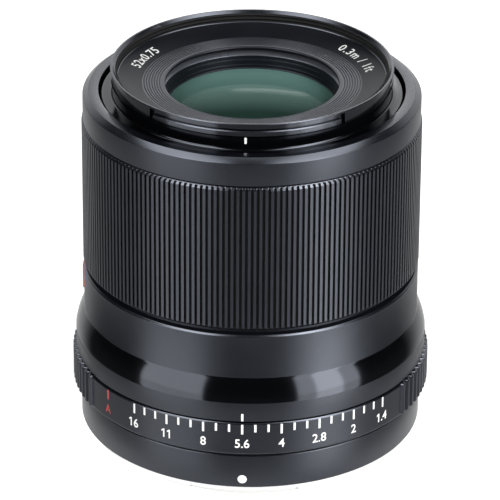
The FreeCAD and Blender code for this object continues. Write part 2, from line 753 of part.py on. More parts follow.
build()
print("blade turn", round(blade_turn, 3), "ratio", round(blade_ratio, 5))
print("pivot radius", round(pivot_radius, 3), "rod circle", round(rod_circle, 3))
print("rim height", round(rim_height, 3), "knurl radius", round(knurl_radius, 3))
print("iris floor", round(iris_floor_top, 3), "carriage", round(carriage_bottom, 3))
print("rear plate", round(rear_plate_bottom, 3), "thread bottom", round(thread_bottom, 3))
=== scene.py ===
# %% [markdown]
# # Finishing a prime lens
# The object is a short, wide prime lens that stands on its mount with the glass looking up.
# Its working parts are already built and arrive as a fixed frame of named nodes. This lesson
# gives every visible surface its real finish: ribs, threads, chamfers, coated glass, paint and
# chrome. Each new piece sits exactly where the node it stands for sits.

# %% Load the frame
import math
from functools import partial

import bmesh
import bpy
import numpy as np
from mathutils import Matrix, Vector


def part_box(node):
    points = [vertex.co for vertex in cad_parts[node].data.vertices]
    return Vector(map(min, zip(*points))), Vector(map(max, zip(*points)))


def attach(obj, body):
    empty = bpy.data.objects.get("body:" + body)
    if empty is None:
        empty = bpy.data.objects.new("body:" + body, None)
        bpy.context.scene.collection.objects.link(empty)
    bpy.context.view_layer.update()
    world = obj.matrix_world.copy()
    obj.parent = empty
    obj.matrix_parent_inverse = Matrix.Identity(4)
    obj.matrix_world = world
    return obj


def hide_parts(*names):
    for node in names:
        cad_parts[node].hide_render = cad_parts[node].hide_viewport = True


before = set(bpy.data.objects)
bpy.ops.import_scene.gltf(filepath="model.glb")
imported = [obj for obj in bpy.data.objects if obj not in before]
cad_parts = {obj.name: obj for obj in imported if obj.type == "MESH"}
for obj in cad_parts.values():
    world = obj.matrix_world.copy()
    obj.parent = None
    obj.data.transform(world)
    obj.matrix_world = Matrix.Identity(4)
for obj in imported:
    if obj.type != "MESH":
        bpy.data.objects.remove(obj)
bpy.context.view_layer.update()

MM = 0.001

# %% [markdown]
# ## The camera comes first
# The photograph was taken from 700 mm in front of the optical axis and 311 mm above the rim,
# looking down by 26.7 degrees through a long lens. Such a place is found by matching the
# ellipses of the rim, the rings and the bottom edge. The index marks point 2.5 degrees to the
# left of the camera, so the camera stands 2.5 degrees round from the marks instead of the
# marks being turned away from their axis.

# %% Make the camera
CAMERA_DISTANCE = 700.0
CAMERA_ABOVE_RIM = 311.4
CAMERA_PITCH = 26.661
CAMERA_ROLL = 0.353
CAMERA_TURN = 2.46
LENS_LENGTH = 285.6
SENSOR = 36.0
PICTURE_SHIFT_X = -0.0021
PICTURE_SHIFT_Y = 0.001

def span(node):
    """Outer radius, bottom and top of a node in millimetres, read from its box."""
    low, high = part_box(node)
    return (high.x - low.x) / 2 / MM, low.z / MM, high.z / MM

def put_in_scene(name, data):
    """Object for a mesh, a camera or a lamp, linked to the scene."""
    thing = bpy.data.objects.new(name, data)
    bpy.context.scene.collection.objects.link(thing)
    return thing

def camera_axes(turn, pitch, roll):
    """Right, up and forward of a camera that stands a turn round from -Y and looks down by a pitch.
    Forward is level ahead times cos(pitch) less up times sin(pitch); roll mixes right and up."""
    turn, pitch, roll = (math.radians(angle) for angle in (turn, pitch, roll))
    ahead = Vector((-math.sin(turn), math.cos(turn), 0))
    forward = ahead * math.cos(pitch) - Vector((0, 0, 1)) * math.sin(pitch)
    right = forward.cross(Vector((0, 0, 1))).normalized()
    up = right.cross(forward)
    rolled_right = right * math.cos(roll) + up * math.sin(roll)
    rolled_up = up * math.cos(roll) - right * math.sin(roll)
    return rolled_right, rolled_up, forward

RIM = span("filter_ring")[2]
camera_data = bpy.data.cameras.new("camera")
camera_data.lens = LENS_LENGTH
camera_data.sensor_width = SENSOR
camera_data.shift_x = PICTURE_SHIFT_X
camera_data.shift_y = PICTURE_SHIFT_Y
camera_data.clip_start = 0.01
camera = put_in_scene("camera", camera_data)
right, up, forward = camera_axes(CAMERA_TURN, CAMERA_PITCH, CAMERA_ROLL)
camera.matrix_world = Matrix((right, up, -forward)).transposed().to_4x4()
turn = math.radians(CAMERA_TURN)
camera.location = Vector((
    CAMERA_DISTANCE * math.sin(turn),
    -CAMERA_DISTANCE * math.cos(turn),
    RIM + CAMERA_ABOVE_RIM,
)) * MM
bpy.context.scene.camera = camera
print("camera at", [round(c, 4) for c in camera.location])

# %% [markdown]
# ## Surfaces as grids of points
# Nearly every piece of a lens is turned on a lathe, so it can be described as a closed profile
# that goes round the optical axis. A spin modifier could do that, but a grid of points that is
# worked out as one array also lets the radius change with the angle, which is what ribs, knurls,
# threads and bayonet pockets need. All angles start at the index marks and grow to the right.

# %% Points round the axis
def around(radius, angle, height):
    """Points from a radius, an angle in degrees from the index marks and a height, in metres:
    x is the radius times the sine of the angle, and y is minus the radius times its cosine."""
    turned_by = np.radians(angle)
    radius, turned_by, height = np.broadcast_arrays(radius, turned_by, height)
    x = radius * np.sin(turned_by)
    y = -radius * np.cos(turned_by)
    return np.stack([x, y, height], -1) * MM

def disc(share, size, columns):
    """Across and up of the points on even rings: a ring's share of the size, times the cosine
    and the sine of the angle."""
    turned_by = np.linspace(0, 2 * np.pi, columns, endpoint=False)[None, :]
    return share * size * np.cos(turned_by), share * size * np.sin(turned_by)

# %% A grid becomes a mesh
CREASE = 32.0
report = {}

def fetch(items, attribute, width=1, kind=float):
    """One attribute of all the items of a mesh as an array, with a row for each item."""
    values = np.empty(len(items) * width, kind)
    items.foreach_get(attribute, values)
    return values.reshape(-1, width) if width > 1 else values

def add_piece(name, mesh):
    """Counts a mesh's faces and puts it in the scene as an object."""
    report[name] = len(mesh.polygons)
    return put_in_scene(name, mesh)

def settle(mesh, crease):
    """Merges seams and poles, and turns the faces outwards. The volume inside is a sixth of the
    sum of a . (b x c) over the triangles; a negative one means that the faces look inwards."""
    shape = bmesh.new()
    shape.from_mesh(mesh)
    bmesh.ops.remove_doubles(shape, verts=shape.verts, dist=1e-7)
    shape.to_mesh(mesh)
    shape.free()
    mesh.calc_loop_triangles()
    corners = fetch(mesh.loop_triangles, "vertices", 3, np.int32)
    a, b, c = fetch(mesh.vertices, "co", 3)[corners].transpose(1, 0, 2)
    volume = np.einsum("ij,ij->i", a, np.cross(b, c)).sum() / 6
    if volume < 0:
        mesh.flip_normals()
    mesh.shade_smooth()
    mesh.set_sharp_from_angle(angle=math.radians(crease))
    return abs(volume)

def skin(name, grid, close_rows=True, close_columns=True, crease=CREASE):
    """Object over a grid of points with the shape (rows, columns, 3). The cell between two
    rows and two columns is one quad, and rows or columns that close are joined end to end."""
    rows, columns = grid.shape[:2]
    index = np.arange(rows * columns).reshape(rows, columns)
    if close_rows:
        index = np.vstack([index, index[:1]])
    if close_columns:
        index = np.hstack([index, index[:, :1]])
    quads = np.stack([index[:-1, :-1], index[:-1, 1:], index[1:, 1:], index[1:, :-1]], -1)
    mesh = bpy.data.meshes.new(name)
    mesh.from_pydata(grid.reshape(-1, 3).tolist(), [], quads.reshape(-1, 4).tolist())
    volume = settle(mesh, crease)
    print(name, "faces", len(mesh.polygons), "volume in mm3", round(volume / MM**3, 1))
    return add_piece(name, mesh)

def stacked(name, rows, angles, crease):
    """Closed piece from its rows: a radius and a height each, as a number or one per angle."""
    radii, heights = (np.stack([np.broadcast_to(row[part], angles.shape) for row in rows])
                      for part in (0, 1))
    return skin(name, around(radii, angles[None, :], heights), crease=crease)

# %% Closed profiles with eased corners
TURN_STEPS = 288

def eased(corners, cut=0.12, steps=3):
    """Rounds the corners of a closed profile of (radius, height) or (radius, height, cut).
    A corner P becomes (1-t)^2 A + 2t(1-t) P + t^2 B, where A and B lie on its two sides
    at the cut from P, or at under half of a shorter side."""
    spots = np.array([corner[:2] for corner in corners], float)
    cuts = np.array([corner[2] if len(corner) > 2 else cut for corner in corners])[:, None]
    ends = []
    for neighbour in (1, -1):
        side = np.roll(spots, neighbour, 0) - spots
        length = np.linalg.norm(side, axis=1)[:, None]
        ends.append(spots + side / length * np.minimum(cuts, length * 0.48))
    start, end = ends
    t = np.linspace(0, 1, steps + 1)[None, :, None]
    curve = (1 - t) ** 2 * start[:, None] + 2 * t * (1 - t) * spots[:, None] + t**2 * end[:, None]
    return curve.reshape(-1, 2)

def turned(name, profile, columns=TURN_STEPS, **options):
    """Turned piece: every point of the profile goes round the axis at its own radius."""
    angles = np.arange(columns) * 360 / columns
    return skin(name, around(profile[:, :1], angles[None, :], profile[:, 1:]), **options)

# %% [markdown]
# ## Painted marks, plates and numbers
# Marks are thin raised films of paint. A film that is bent round the barrel can be made flat and
# wrapped: across becomes an angle, and up stays up. Its border drops to the surface, so that each
# film is a closed shell that rests on the metal and doesn't hang in front of it.

# %% Films bent round the barrel
FILM = 0.03
FILM_CREASE = 20.0

def bordered(low, high, steps, border):
    """Even steps inside a border, and the two ends outside it."""
    return np.concatenate([[low], np.linspace(low + border, high - border, steps + 1), [high]])

def film(name, angle, radius, bottom, top, width, lift=FILM, steps=(2, 1), border=0.04):
    """Closed plate on a cylinder. Its face lies at the radius plus the lift, its border at the
    radius, and its back is the same grid at the radius. Width is measured along the surface."""
    across = bordered(-width / 2, width / 2, steps[0], border)
    upward = bordered(bottom, top, steps[1], border)
    raised = np.full((len(upward), len(across)), lift)
    raised[[0, -1], :] = 0
    raised[:, [0, -1]] = 0
    angles = angle + np.degrees(across / radius)[None, :]
    face = around(radius + raised, angles, upward[:, None])
    back = around(np.full_like(raised, radius), angles, upward[::-1, None])
    grid = np.concatenate([face, back], 0)
    return skin(name, grid, close_rows=False, close_columns=False, crease=FILM_CREASE)

def dot(name, angle, radius, height, size, lift=FILM, columns=32):
    """Round film of paint: rings of points whose lift falls to nothing at the border."""
    share = np.array([0, 0.5, 0.92, 1.0, 0.5, 0])[:, None]
    raised = np.array([1, 1, 1, 0, 0, 0])[:, None] * lift
    across, upward = disc(share, size, columns)
    grid = around(radius + raised, angle + np.degrees(across / radius), height + upward)
    return skin(name, grid, close_rows=False, crease=FILM_CREASE)

# %% Numbers wrapped on a surface
def letters(name, text, size, spacing=1.0, weight=0.0):
    """Points of a thin solid text, centred at zero, in millimetres: across, up and lift."""
    line = bpy.data.curves.new(name, "FONT")
    line.body = text
    line.size = size
    line.space_character = spacing
    line.offset = weight
    line.extrude = FILM / 2
    line.resolution_u = 4
    holder = put_in_scene(name, line)
    bpy.context.view_layer.update()
    evaluated = holder.evaluated_get(bpy.context.evaluated_depsgraph_get())
    mesh = bpy.data.meshes.new_from_object(evaluated)
    bpy.data.objects.remove(holder)
    points = fetch(mesh.vertices, "co", 3)
    points[:, :2] -= (points[:, :2].max(0) + points[:, :2].min(0)) / 2
    return mesh, points

def print_text(name, text, size, place, spacing=1.0, weight=0.0):
    """Text as a mesh, put in place by a function of across, up and lift, all in millimetres."""
    mesh, points = letters(name, text, size, spacing, weight)
    placed = place(points[:, 0], points[:, 1], points[:, 2] + FILM / 2)
    mesh.vertices.foreach_set("co", placed.ravel())
    mesh.update()
    settle(mesh, FILM_CREASE)
    mesh.name = name
    return add_piece(name, mesh)

# %% [markdown]
# ## Effects shared by the finishes
# Anodised aluminium looks right only with a very fine grain, and turned metal with fine lines
# round the axis. Both are wanted by several materials, so each is a node group with named
# inputs. They read Object coordinates, which are the same metres for every piece, so the grain
# has one real scale all over the lens. Short words such as times and plus place a math node each,
# so that a mask reads like a sum.

# %% Helpers for nodes
def set_inputs(node, values):
    """Gives a node's inputs, named or numbered, a link from a socket or a plain value."""
    for key, value in values.items():
        if isinstance(value, bpy.types.NodeSocket):
            node.id_data.links.new(value, node.inputs[key])
        else:
            node.inputs[key].default_value = value

def add_node(tree, kind, values=None, **settings):
    """Node of a kind with its settings and its inputs."""
    node = tree.nodes.new("ShaderNode" + kind)
    for key, value in settings.items():
        setattr(node, key, value)
    set_inputs(node, values or {})
    return node

def math_nodes(operation, first, *others):
    """Math nodes in a row: each puts the next socket or number to what stands so far. A root
    has one value and leaves its second input unread. Gives back the last output socket."""
    tree = next(value.id_data for value in (first, *others) if hasattr(value, "id_data"))
    for value in others or (0.5,):
        first = add_node(tree, "Math", {0: first, 1: value}, operation=operation).outputs[0]
    return first

times, plus, minus, over, larger, root = (partial(math_nodes, operation) for operation in (
    "MULTIPLY", "ADD", "SUBTRACT", "DIVIDE", "MAXIMUM", "SQRT"))

def new_group(name, inputs, outputs):
    """Empty shader group with float sockets, its input and output nodes."""
    group = bpy.data.node_groups.new(name, "ShaderNodeTree")
    for label, value in inputs.items():
        socket = group.interface.new_socket(label, in_out="INPUT", socket_type="NodeSocketFloat")
        socket.default_value = value
    for label in outputs:
        group.interface.new_socket(label, in_out="OUTPUT", socket_type="NodeSocketFloat")
    return group, group.nodes.new("NodeGroupInput"), group.nodes.new("NodeGroupOutput")

# %% The grain of anodised metal
def make_grain():
    """Fine noise for bump and a slower one for roughness. Roughness is the base plus the
    spread times the slow noise less one half."""
    group, given, result = new_group(
        "anodised_grain",
        {"Grain per metre": 9000.0, "Roughness": 0.4, "Spread": 0.1},
        ("Roughness", "Height", "Mottle"),
    )
    place = add_node(group, "TexCoord").outputs["Object"]
    fine = add_node(group, "TexNoise", {
        "Vector": place, "Scale": given.outputs["Grain per metre"], "Detail": 2.0}).outputs["Fac"]
    slow = add_node(group, "TexNoise", {
        "Vector": place, "Scale": 160.0, "Detail": 4.0}).outputs["Fac"]
    swing = times(minus(slow, 0.5), given.outputs["Spread"])
    rough = plus(swing, given.outputs["Roughness"])
    set_inputs(result, {"Roughness": rough, "Height": fine, "Mottle": slow})
    return group

# %% The lines of a lathe
def level_length(source):
    """Splits a vector and gives its length in the level plane, then its y and z parts."""
    x, y, z = add_node(source.id_data, "SeparateXYZ", {0: source}).outputs
    return root(plus(times(x, x), times(y, y))), y, z

def make_lathe():
    """Fine lines round the axis: noise that is read at (radius, 0, height) only, so that it
    stays the same all the way round and changes quickly along the profile."""
    group, given, result = new_group("lathe_lines", {"Lines per metre": 4000.0}, ("Height",))
    radius, _, height = level_length(add_node(group, "TexCoord").outputs["Object"])
    flat = add_node(group, "CombineXYZ", {"X": radius, "Z": height}).outputs[0]
    noise = add_node(group, "TexNoise", {
        "Vector": flat, "Scale": given.outputs["Lines per metre"], "Detail": 3.0})
    set_inputs(result, {"Height": noise.outputs["Fac"]})
    return group

grain = make_grain()
lathe = make_lathe()

# %% [markdown]
# ## One function makes the metal and plastic finishes
# The black parts differ by how dark, how glossy, how grainy and how finely turned they are. One
# function with plain named values builds them all, and the Principled shader itself stays in
# each material, where an export can read it.

# %% A finish from plain values
BUMP_DISTANCE = 0.00002
LINED_BUMP = 0.5
finishes = {}

def new_material(name):
    """Material with nodes: gives back the material, its tree and its Principled shader."""
    material = bpy.data.materials.new(name)
    material.use_nodes = True
    return material, material.node_tree, material.node_tree.nodes["Principled BSDF"]

def add_grain(tree, size, roughness, spread):
    """The grain's group with its three values."""
    return add_node(tree, "Group", {"Grain per metre": size, "Roughness": roughness,
                                    "Spread": spread}, node_tree=grain).outputs

def mix_colours(share, first, second):
    """Mix of two colours by a share; gives back its output socket."""
    values = {"A": (*first, 1), "B": (*second, 1), "Factor": share}
    return add_node(share.id_data, "Mix", values, data_type="RGBA").outputs["Result"]

def finish(name, colour, roughness, spread=0.08, metallic=0.0, specular=0.5, grain_size=9000.0,
           grain_depth=0.15, lines=0.0, line_depth=0.0, mottle=0.25, coat=0.0, sheen=(1, 1, 1)):
    """Material for a painted, anodised or plated surface. The colour is mixed with a lighter
    one by the slow noise, and the bump is the grain plus the lathe lines."""
    material, tree, shader = new_material(name)
    grained = add_grain(tree, grain_size, roughness, spread)
    darker, lighter = ([c * share for c in colour] for share in (1 - mottle, 1 + mottle))
    height = grained["Height"]
    if lines:
        turning = add_node(tree, "Group", {"Lines per metre": lines}, node_tree=lathe)
        height = plus(times(height, grain_depth), times(turning.outputs["Height"], line_depth))
    bump = add_node(tree, "Bump", {"Strength": LINED_BUMP if lines else grain_depth,
                                   "Distance": BUMP_DISTANCE, "Height": height})
    set_inputs(shader, {
        "Base Color": mix_colours(grained["Mottle"], darker, lighter),
        "Roughness": grained["Roughness"], "Metallic": metallic, "Coat Weight": coat,
        "Specular IOR Level": specular, "Specular Tint": (*sheen, 1), "Normal": bump.outputs[0]})
    finishes[name] = material

# %% [markdown]
# ## The finishes of this lens
# Colours are linear values. The barrel is a cool, very dark grey with a satin sheen, and black
# anodising mirrors blue a little better than red. The flare and the filter ring are nearly
# polished, and cut edges are brighter than the faces beside them. Inside the front all is dull,
# but the lands between the grooves and one bevel look up into the light, and that light is painted
# on as a paler colour. Groove bottoms are painted darker for the shade in them.

# %% Make the finishes
BLACK = (0.0035, 0.0041, 0.0056)
COOL = (0.80, 0.86, 1.0)
finish("satin_black", BLACK, 0.35, specular=0.52, lines=2600.0, line_depth=0.5, sheen=COOL)
finish("ribbed_black", BLACK, 0.34, specular=0.66, sheen=COOL)
# Painted shade: a darker, duller black for the bottoms of grooves, where shade falls.
finish("groove_painted_shade", (0.0018, 0.002, 0.0026), 0.5, specular=0.12)
finish("cut_edge", BLACK, 0.2, spread=0.03, specular=1.0, grain_depth=0.05, sheen=COOL)
finish("gloss_black", (0.001, 0.0011, 0.0014), 0.11, spread=0.02, specular=0.55, grain_depth=0.02,
       sheen=COOL)
finish("ring_black", (0.001, 0.0011, 0.0014), 0.13, spread=0.02, specular=0.6, grain_depth=0.03,
       sheen=COOL)
finish("inner_black", (0.004, 0.0045, 0.006), 0.36, specular=0.4, lines=5200.0, line_depth=0.8,
       sheen=COOL)
# Painted highlight: a paler black for the lands between the funnel's grooves, which look up into
# the light.
finish("land_painted_highlight", (0.024, 0.026, 0.031), 0.3, specular=0.9, sheen=COOL)
# Painted highlight: a paler grey for the retainer's bevel, for the light that it catches.
finish("bevel_painted_highlight", (0.06, 0.064, 0.074), 0.26, specular=1.0, sheen=COOL)
finish("matt_black", (0.004, 0.004, 0.0045), 0.75, specular=0.25)
finish("moulding", (0.012, 0.012, 0.013), 0.55, specular=0.45, grain_size=5200.0, grain_depth=0.3)
finish("blade_black", (0.02, 0.02, 0.021), 0.5, specular=0.4)
finish("chrome", (0.74, 0.74, 0.73), 0.2, metallic=1.0, lines=6500.0, line_depth=0.9, mottle=0.04)
finish("steel", (0.55, 0.55, 0.56), 0.24, metallic=1.0, lines=3000.0, line_depth=0.5, mottle=0.05)
finish("gold_contact", (0.83, 0.6, 0.24), 0.22, metallic=1.0, mottle=0.05)
finish("white_paint", (0.80, 0.80, 0.79), 0.5, specular=0.3, mottle=0.04)
finish("red_paint", (0.42, 0.05, 0.045), 0.45, specular=0.35, mottle=0.08)
finish("red_enamel", (0.56, 0.016, 0.014), 0.16, spread=0.04, coat=0.6, mottle=0.06)
finish("board", (0.01, 0.09, 0.035), 0.35, mottle=0.3)
print("finishes:", ", ".join(finishes))

# %% [markdown]
# ## Coated glass
# A coated lens element is clear, yet it glows green, and the more so the flatter it is looked at.
# That green is the coating's reflection. The tint of the mirror could do that alone, but it fades
# at flat angles. So the front element is half clear and half body, and the body's colour is a
# painted reflection: it takes the coating's colour as the surface turns away.
# The inner elements are closed bowls whose body is near black and lets no light through: painted
# shade for the dark inside of the lens, where only their reflections are seen.

# %% Glass materials
# Facing values over which the painted reflection of the coating comes into the front glass's body.
PAINTED_REFLECTION_FROM = 0.50
PAINTED_REFLECTION_TO = 0.74
GLASS_GRAIN = 1200.0

def glass(name, tint, body, index, transmission, level, roughness=0.02, film=None):
    """Glass with a tinted mirror: plain values on the shader, and a faint uneven roughness. A film
    is a colour painted into the body that grows as the surface turns away: a painted reflection
    of the coating."""
    material, tree, shader = new_material(name)
    if film:
        turned_away = add_node(tree, "LayerWeight", {"Blend": 0.5}).outputs["Facing"]
        share = add_node(tree, "MapRange", {
            "Value": turned_away, "From Min": PAINTED_REFLECTION_FROM, "From Max": PAINTED_REFLECTION_TO}).outputs["Result"]
        colour = mix_colours(share, body, film)
    else:
        colour = (*body, 1)
    set_inputs(shader, {
        "Base Color": colour, "IOR": index, "Specular IOR Level": level,
        "Specular Tint": (*tint, 1), "Transmission Weight": transmission,
        "Roughness": add_grain(tree, GLASS_GRAIN, roughness, roughness)["Roughness"]})
    finishes[name] = material

# The front glass's body colour, greener as the surface turns away, is a painted reflection of the
# coating.
glass("coated_glass", (0.42, 0.95, 0.82), (0.033, 0.072, 0.058), 1.12, 0.55, level=0.12,
      film=(0.27, 0.52, 0.46))
# Painted shade: the inner elements are dark and opaque, standing in for the shade inside the lens.
glass("inner_glass_painted_shade", (0.60, 0.95, 0.75), (0.002, 0.006, 0.004), 1.5, 0.0, level=0.14,
      roughness=0.03)

# %% [markdown]
# ## Dressing a piece
# A finished piece needs three facts: its material, the body that it moves with, and the nodes
# that it stands for. One short function states them together.

# %% Dress a piece
def coat_mesh(piece, material):
    """Leaves a piece with one finish alone."""
    piece.data.materials.clear()
    piece.data.materials.append(finishes[material])

def dress(piece, material, body, stands_for=()):
    """Gives a piece its material and its body, and hides the nodes that it replaces."""
    coat_mesh(piece, material)
    if stands_for:
        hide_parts(*stands_for)
    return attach(piece, body)

# %% [markdown]
# ## A second finish on some faces
# A machined edge is brighter than the faces beside it. A groove is painted darker for the shade in
# it, and faces that look up into the light are painted paler. Such faces need no pieces of their
# own: a mask picks them by height, radius and slope, and they get a material.

# %% Finishes for chosen faces
EDGE_SLOPE = 0.3
BEYOND_ALL = 40.0

def refinish(piece, material, low, high, inner, outer=BEYOND_ALL, upward=-2.0):
    """Adds a finish to a piece and gives it to the faces whose middle lies between two heights
    and two radii in millimetres, and whose normal points up by more than a share."""
    mesh = piece.data
    mesh.materials.append(finishes[material])
    x, y, height = fetch(mesh.polygons, "center", 3).T / MM
    radius = np.hypot(x, y)
    chosen = (height > low) & (height < high) & (radius > inner) & (radius < outer)
    chosen &= fetch(mesh.polygons, "normal", 3)[:, 2] > upward
    place = fetch(mesh.polygons, "material_index", kind=np.int32)
    place[chosen] = len(mesh.materials) - 1
    mesh.polygons.foreach_set("material_index", place)
    print(piece.name, "has", int(chosen.sum()), "faces in", material)

def cut_edges(piece, low, high, inner=0.0):
    """Gives the finish of a cut edge to the faces that look partly up between two heights."""
    refinish(piece, "cut_edge", low, high, inner, upward=EDGE_SLOPE)

# %% [markdown]
# ## Sizes that the frame's boxes can't give
# A box gives only a node's outer size. The few inner radii that matter here are the walls of
# turned pieces that are hidden or that carry a neighbour, so they are named once. The same holds
# for the heights of the barrel's own steps.

# %% Named radii and heights
SLEEVE_RADIUS = 31.42
SLEEVE_BORE = 29.9
LOWER_SLEEVE = 32.32
SCALE_RADIUS = 34.9
BELT_RADIUS = span("fixed_barrel")[0]
BODY_RADIUS = 33.0
THREAD_RADIUS = 26.0
THREAD_PITCH = 0.75
GLASS_MOUTH = 16.2
RUNNING_GAP = 0.08
RING_GAP = 0.25
BELT_HEIGHT = 3.95
FLARE_HEIGHT = 4.65
GRIP_GROOVE = 0.97
ring_top = span("aperture_ring")[2]
belt_bottom = ring_top + RING_GAP
belt_top = belt_bottom + BELT_HEIGHT
flare_top = belt_top + FLARE_HEIGHT
mid_top = span("focus_ring")[1] - GRIP_GROOVE
print("belt, flare and mid barrel end at:", belt_top, flare_top, mid_top)

# %% [markdown]
# ## The focus ring
# The focus ring has 192 straight ribs: a flat crown on half of each pitch and a groove on the
# rest. A chamfer cuts across the ribs at both ends, and that gives the scalloped edge. The
# radius at any point is the smaller of the rib's radius and the chamfer's radius, so one formula
# holds for the whole outside.

# %% Ribs as a formula
RIBS = 192
RIB_SAMPLES = 12
CHAMFER_SLOPE = 1.0
CHAMFER_DEPTH = 0.7
RIB_DEPTH = 0.45
LIP_DEPTH = 0.15
focus_crown, focus_bottom, focus_top = span("focus_ring")

def rib_radius(angle, crown, depth, count, crown_share=0.55, groove_share=0.3):
    """Radius of a ribbed ring. Inside a pitch the distance from the crown's middle goes from 0
    to 1; up to the crown's share the radius is the crown's, past one less the groove's share
    it is the crown less the depth, and a smooth flank joins the two."""
    phase = np.abs((np.asarray(angle) * count / 360 + 0.5) % 1 - 0.5) * 2
    flank = np.clip((phase - crown_share) / (1 - crown_share - groove_share), 0, 1)
    return crown - depth * flank * flank * (3 - 2 * flank)

def make_focus_ring():
    """Ribbed outside over a plain bore. Near both ends the rows stand close together, and the
    chamfer's limit on the radius rises with the distance from the end."""
    angles = np.arange(RIBS * RIB_SAMPLES) * 360 / (RIBS * RIB_SAMPLES)
    from_end = np.array([0, 0.12, 0.25, 0.36, 0.48, 0.6, 0.7, 0.8])
    heights = np.concatenate([focus_bottom + from_end, focus_top - from_end[::-1]])
    from_edge = np.minimum(heights - focus_bottom, focus_top - heights)
    limit = focus_crown - CHAMFER_DEPTH + from_edge * CHAMFER_SLOPE
    outside = np.minimum(rib_radius(angles, focus_crown, RIB_DEPTH, RIBS), limit[:, None])
    bore = SLEEVE_RADIUS + RUNNING_GAP
    lip = focus_crown - CHAMFER_DEPTH - LIP_DEPTH
    rows = [(bore, focus_bottom), (lip, focus_bottom), *zip(outside, heights),
            (lip, focus_top), (bore, focus_top)]
    return stacked("focus_grip", rows, angles, 40)

focus_grip = make_focus_ring()
dress(focus_grip, "ribbed_black", "focus_ring", ["focus_ring"])
# The groove bottoms get the darker finish: painted shade for the shade in the grooves.
refinish(focus_grip, "groove_painted_shade", 0, RIM, focus_crown - 0.6, focus_crown - 0.28)
cut_edges(focus_grip, focus_top - 0.8, focus_top + 1)

# %% [markdown]
# ## The aperture ring
# Its front part is smooth and carries the scale; the rest has a coarse knurl. The same rib
# formula is used, faded out inside 60 degrees of the index marks.

# %% Knurl with a smooth window
KNURLS = 112
KNURL_SAMPLES = 10
KNURL_BELOW_FACE = 0.28
SCALE_HALF_ANGLE = 60.0
SCALE_FADE = 0.8

def make_aperture_ring():
    """Scale face in front and knurl elsewhere. The trim rounds both ends off, and it works more
    than twice as hard on the knurl's tips."""
    tip, bottom, top = span("aperture_ring")
    angles = np.arange(KNURLS * KNURL_SAMPLES) * 360 / (KNURLS * KNURL_SAMPLES)
    from_index = np.abs((angles + 180) % 360 - 180)
    knurl = rib_radius(angles, tip, tip - SCALE_RADIUS + KNURL_BELOW_FACE, KNURLS, 0.3, 0.2)
    inside = np.clip((from_index - SCALE_HALF_ANGLE) / SCALE_FADE, 0, 1)
    outer = SCALE_RADIUS * (1 - inside) + knurl * inside
    from_end = np.array([0.05, 0.14, 0.23, 0.3, 0.5])
    trim = np.array([0.2, 0.11, 0.03, 0.0, 0.0])
    heights = np.concatenate([bottom + from_end, top - from_end[::-1]])
    trim = np.concatenate([trim, trim[::-1]])
    outside = np.minimum(outer[None, :] - trim[:, None], tip - trim[:, None] * 2.2)
    bore = LOWER_SLEEVE + RUNNING_GAP
    rows = [(bore, bottom + 0.05), *zip(outside, heights), (bore, top - 0.05)]
    return stacked("aperture_grip", rows, angles, 40)

aperture_grip = make_aperture_ring()
dress(aperture_grip, "satin_black", "aperture_ring", ["aperture_ring"])
cut_edges(aperture_grip, ring_top - 0.5, ring_top + 1)

# %% [markdown]
# ## The main barrel
# Between the two rings the barrel is a satin cylinder, a glossy flare that swells to the belt,
# and the belt with its index mark. The flare is a curve and not a cone: it leaves the cylinder
# at an angle and comes upright at the belt. The glossy and the satin part are one turned piece
# with two finishes, so the faces of the flare get the second material.

# %% Barrel profile
FLARE_STEPS = 16
FLARE_FOOT_TILT = 9.0
BELT_POINTS = 12

def flare(top, foot):
    """Points down the flare, which is an arc. The chord's tilt from upright is the mean of the
    tilts at its two ends, so the foot's tilt gives the top's, and an arc of radius R that turns
    from one tilt to the other is R times the difference of their sines high."""
    chord = math.atan2(BELT_RADIUS - BODY_RADIUS, top - foot)
    low = math.radians(FLARE_FOOT_TILT)
    high = 2 * chord - low
    bend = (top - foot) / (math.sin(high) - math.sin(low))
    tilt = np.linspace(high, low, FLARE_STEPS)
    radius = BODY_RADIUS + bend * (np.cos(tilt) - math.cos(high))
    return np.stack([radius, top - bend * (math.sin(high) - np.sin(tilt))], -1)

def make_barrel():
    """The belt's corners, then the flare, then the mid barrel, the sleeve and its bore. The
    belt's profile ends at its third corner, where the flare's own points take over."""
    _, low, sleeve_top = span("fixed_barrel")
    lower = eased([(LOWER_SLEEVE, low), (LOWER_SLEEVE, belt_bottom, 0.02),
                   (BELT_RADIUS, belt_bottom, 0.12), (BELT_RADIUS, belt_top, 0.0)])[:BELT_POINTS]
    swell = flare(flare_top, belt_top)[::-1]
    upper = eased([(BODY_RADIUS, flare_top, 0.0), (BODY_RADIUS, mid_top - 0.32, 0.04),
                   (BODY_RADIUS - 0.32, mid_top, 0.04), (SLEEVE_RADIUS, mid_top, 0.05),
                   (SLEEVE_RADIUS, sleeve_top), (SLEEVE_BORE, sleeve_top), (SLEEVE_BORE, low)])
    return turned("main_barrel", np.concatenate([lower, swell, upper]))

barrel = make_barrel()
dress(barrel, "satin_black", "barrel", ["fixed_barrel"])
refinish(barrel, "gloss_black", belt_top, flare_top, BODY_RADIUS - 0.1)
cut_edges(barrel, mid_top - 0.4, mid_top - 0.01, BODY_RADIUS - 0.5)

# %% [markdown]
# ## The front band and the rear barrel
# Both are plain turned pieces. What makes them read as metal is the eased edge, which catches a
# thin line of light, so the corners are rounded by real amounts: a broad shoulder at the front
# and small chamfers elsewhere.

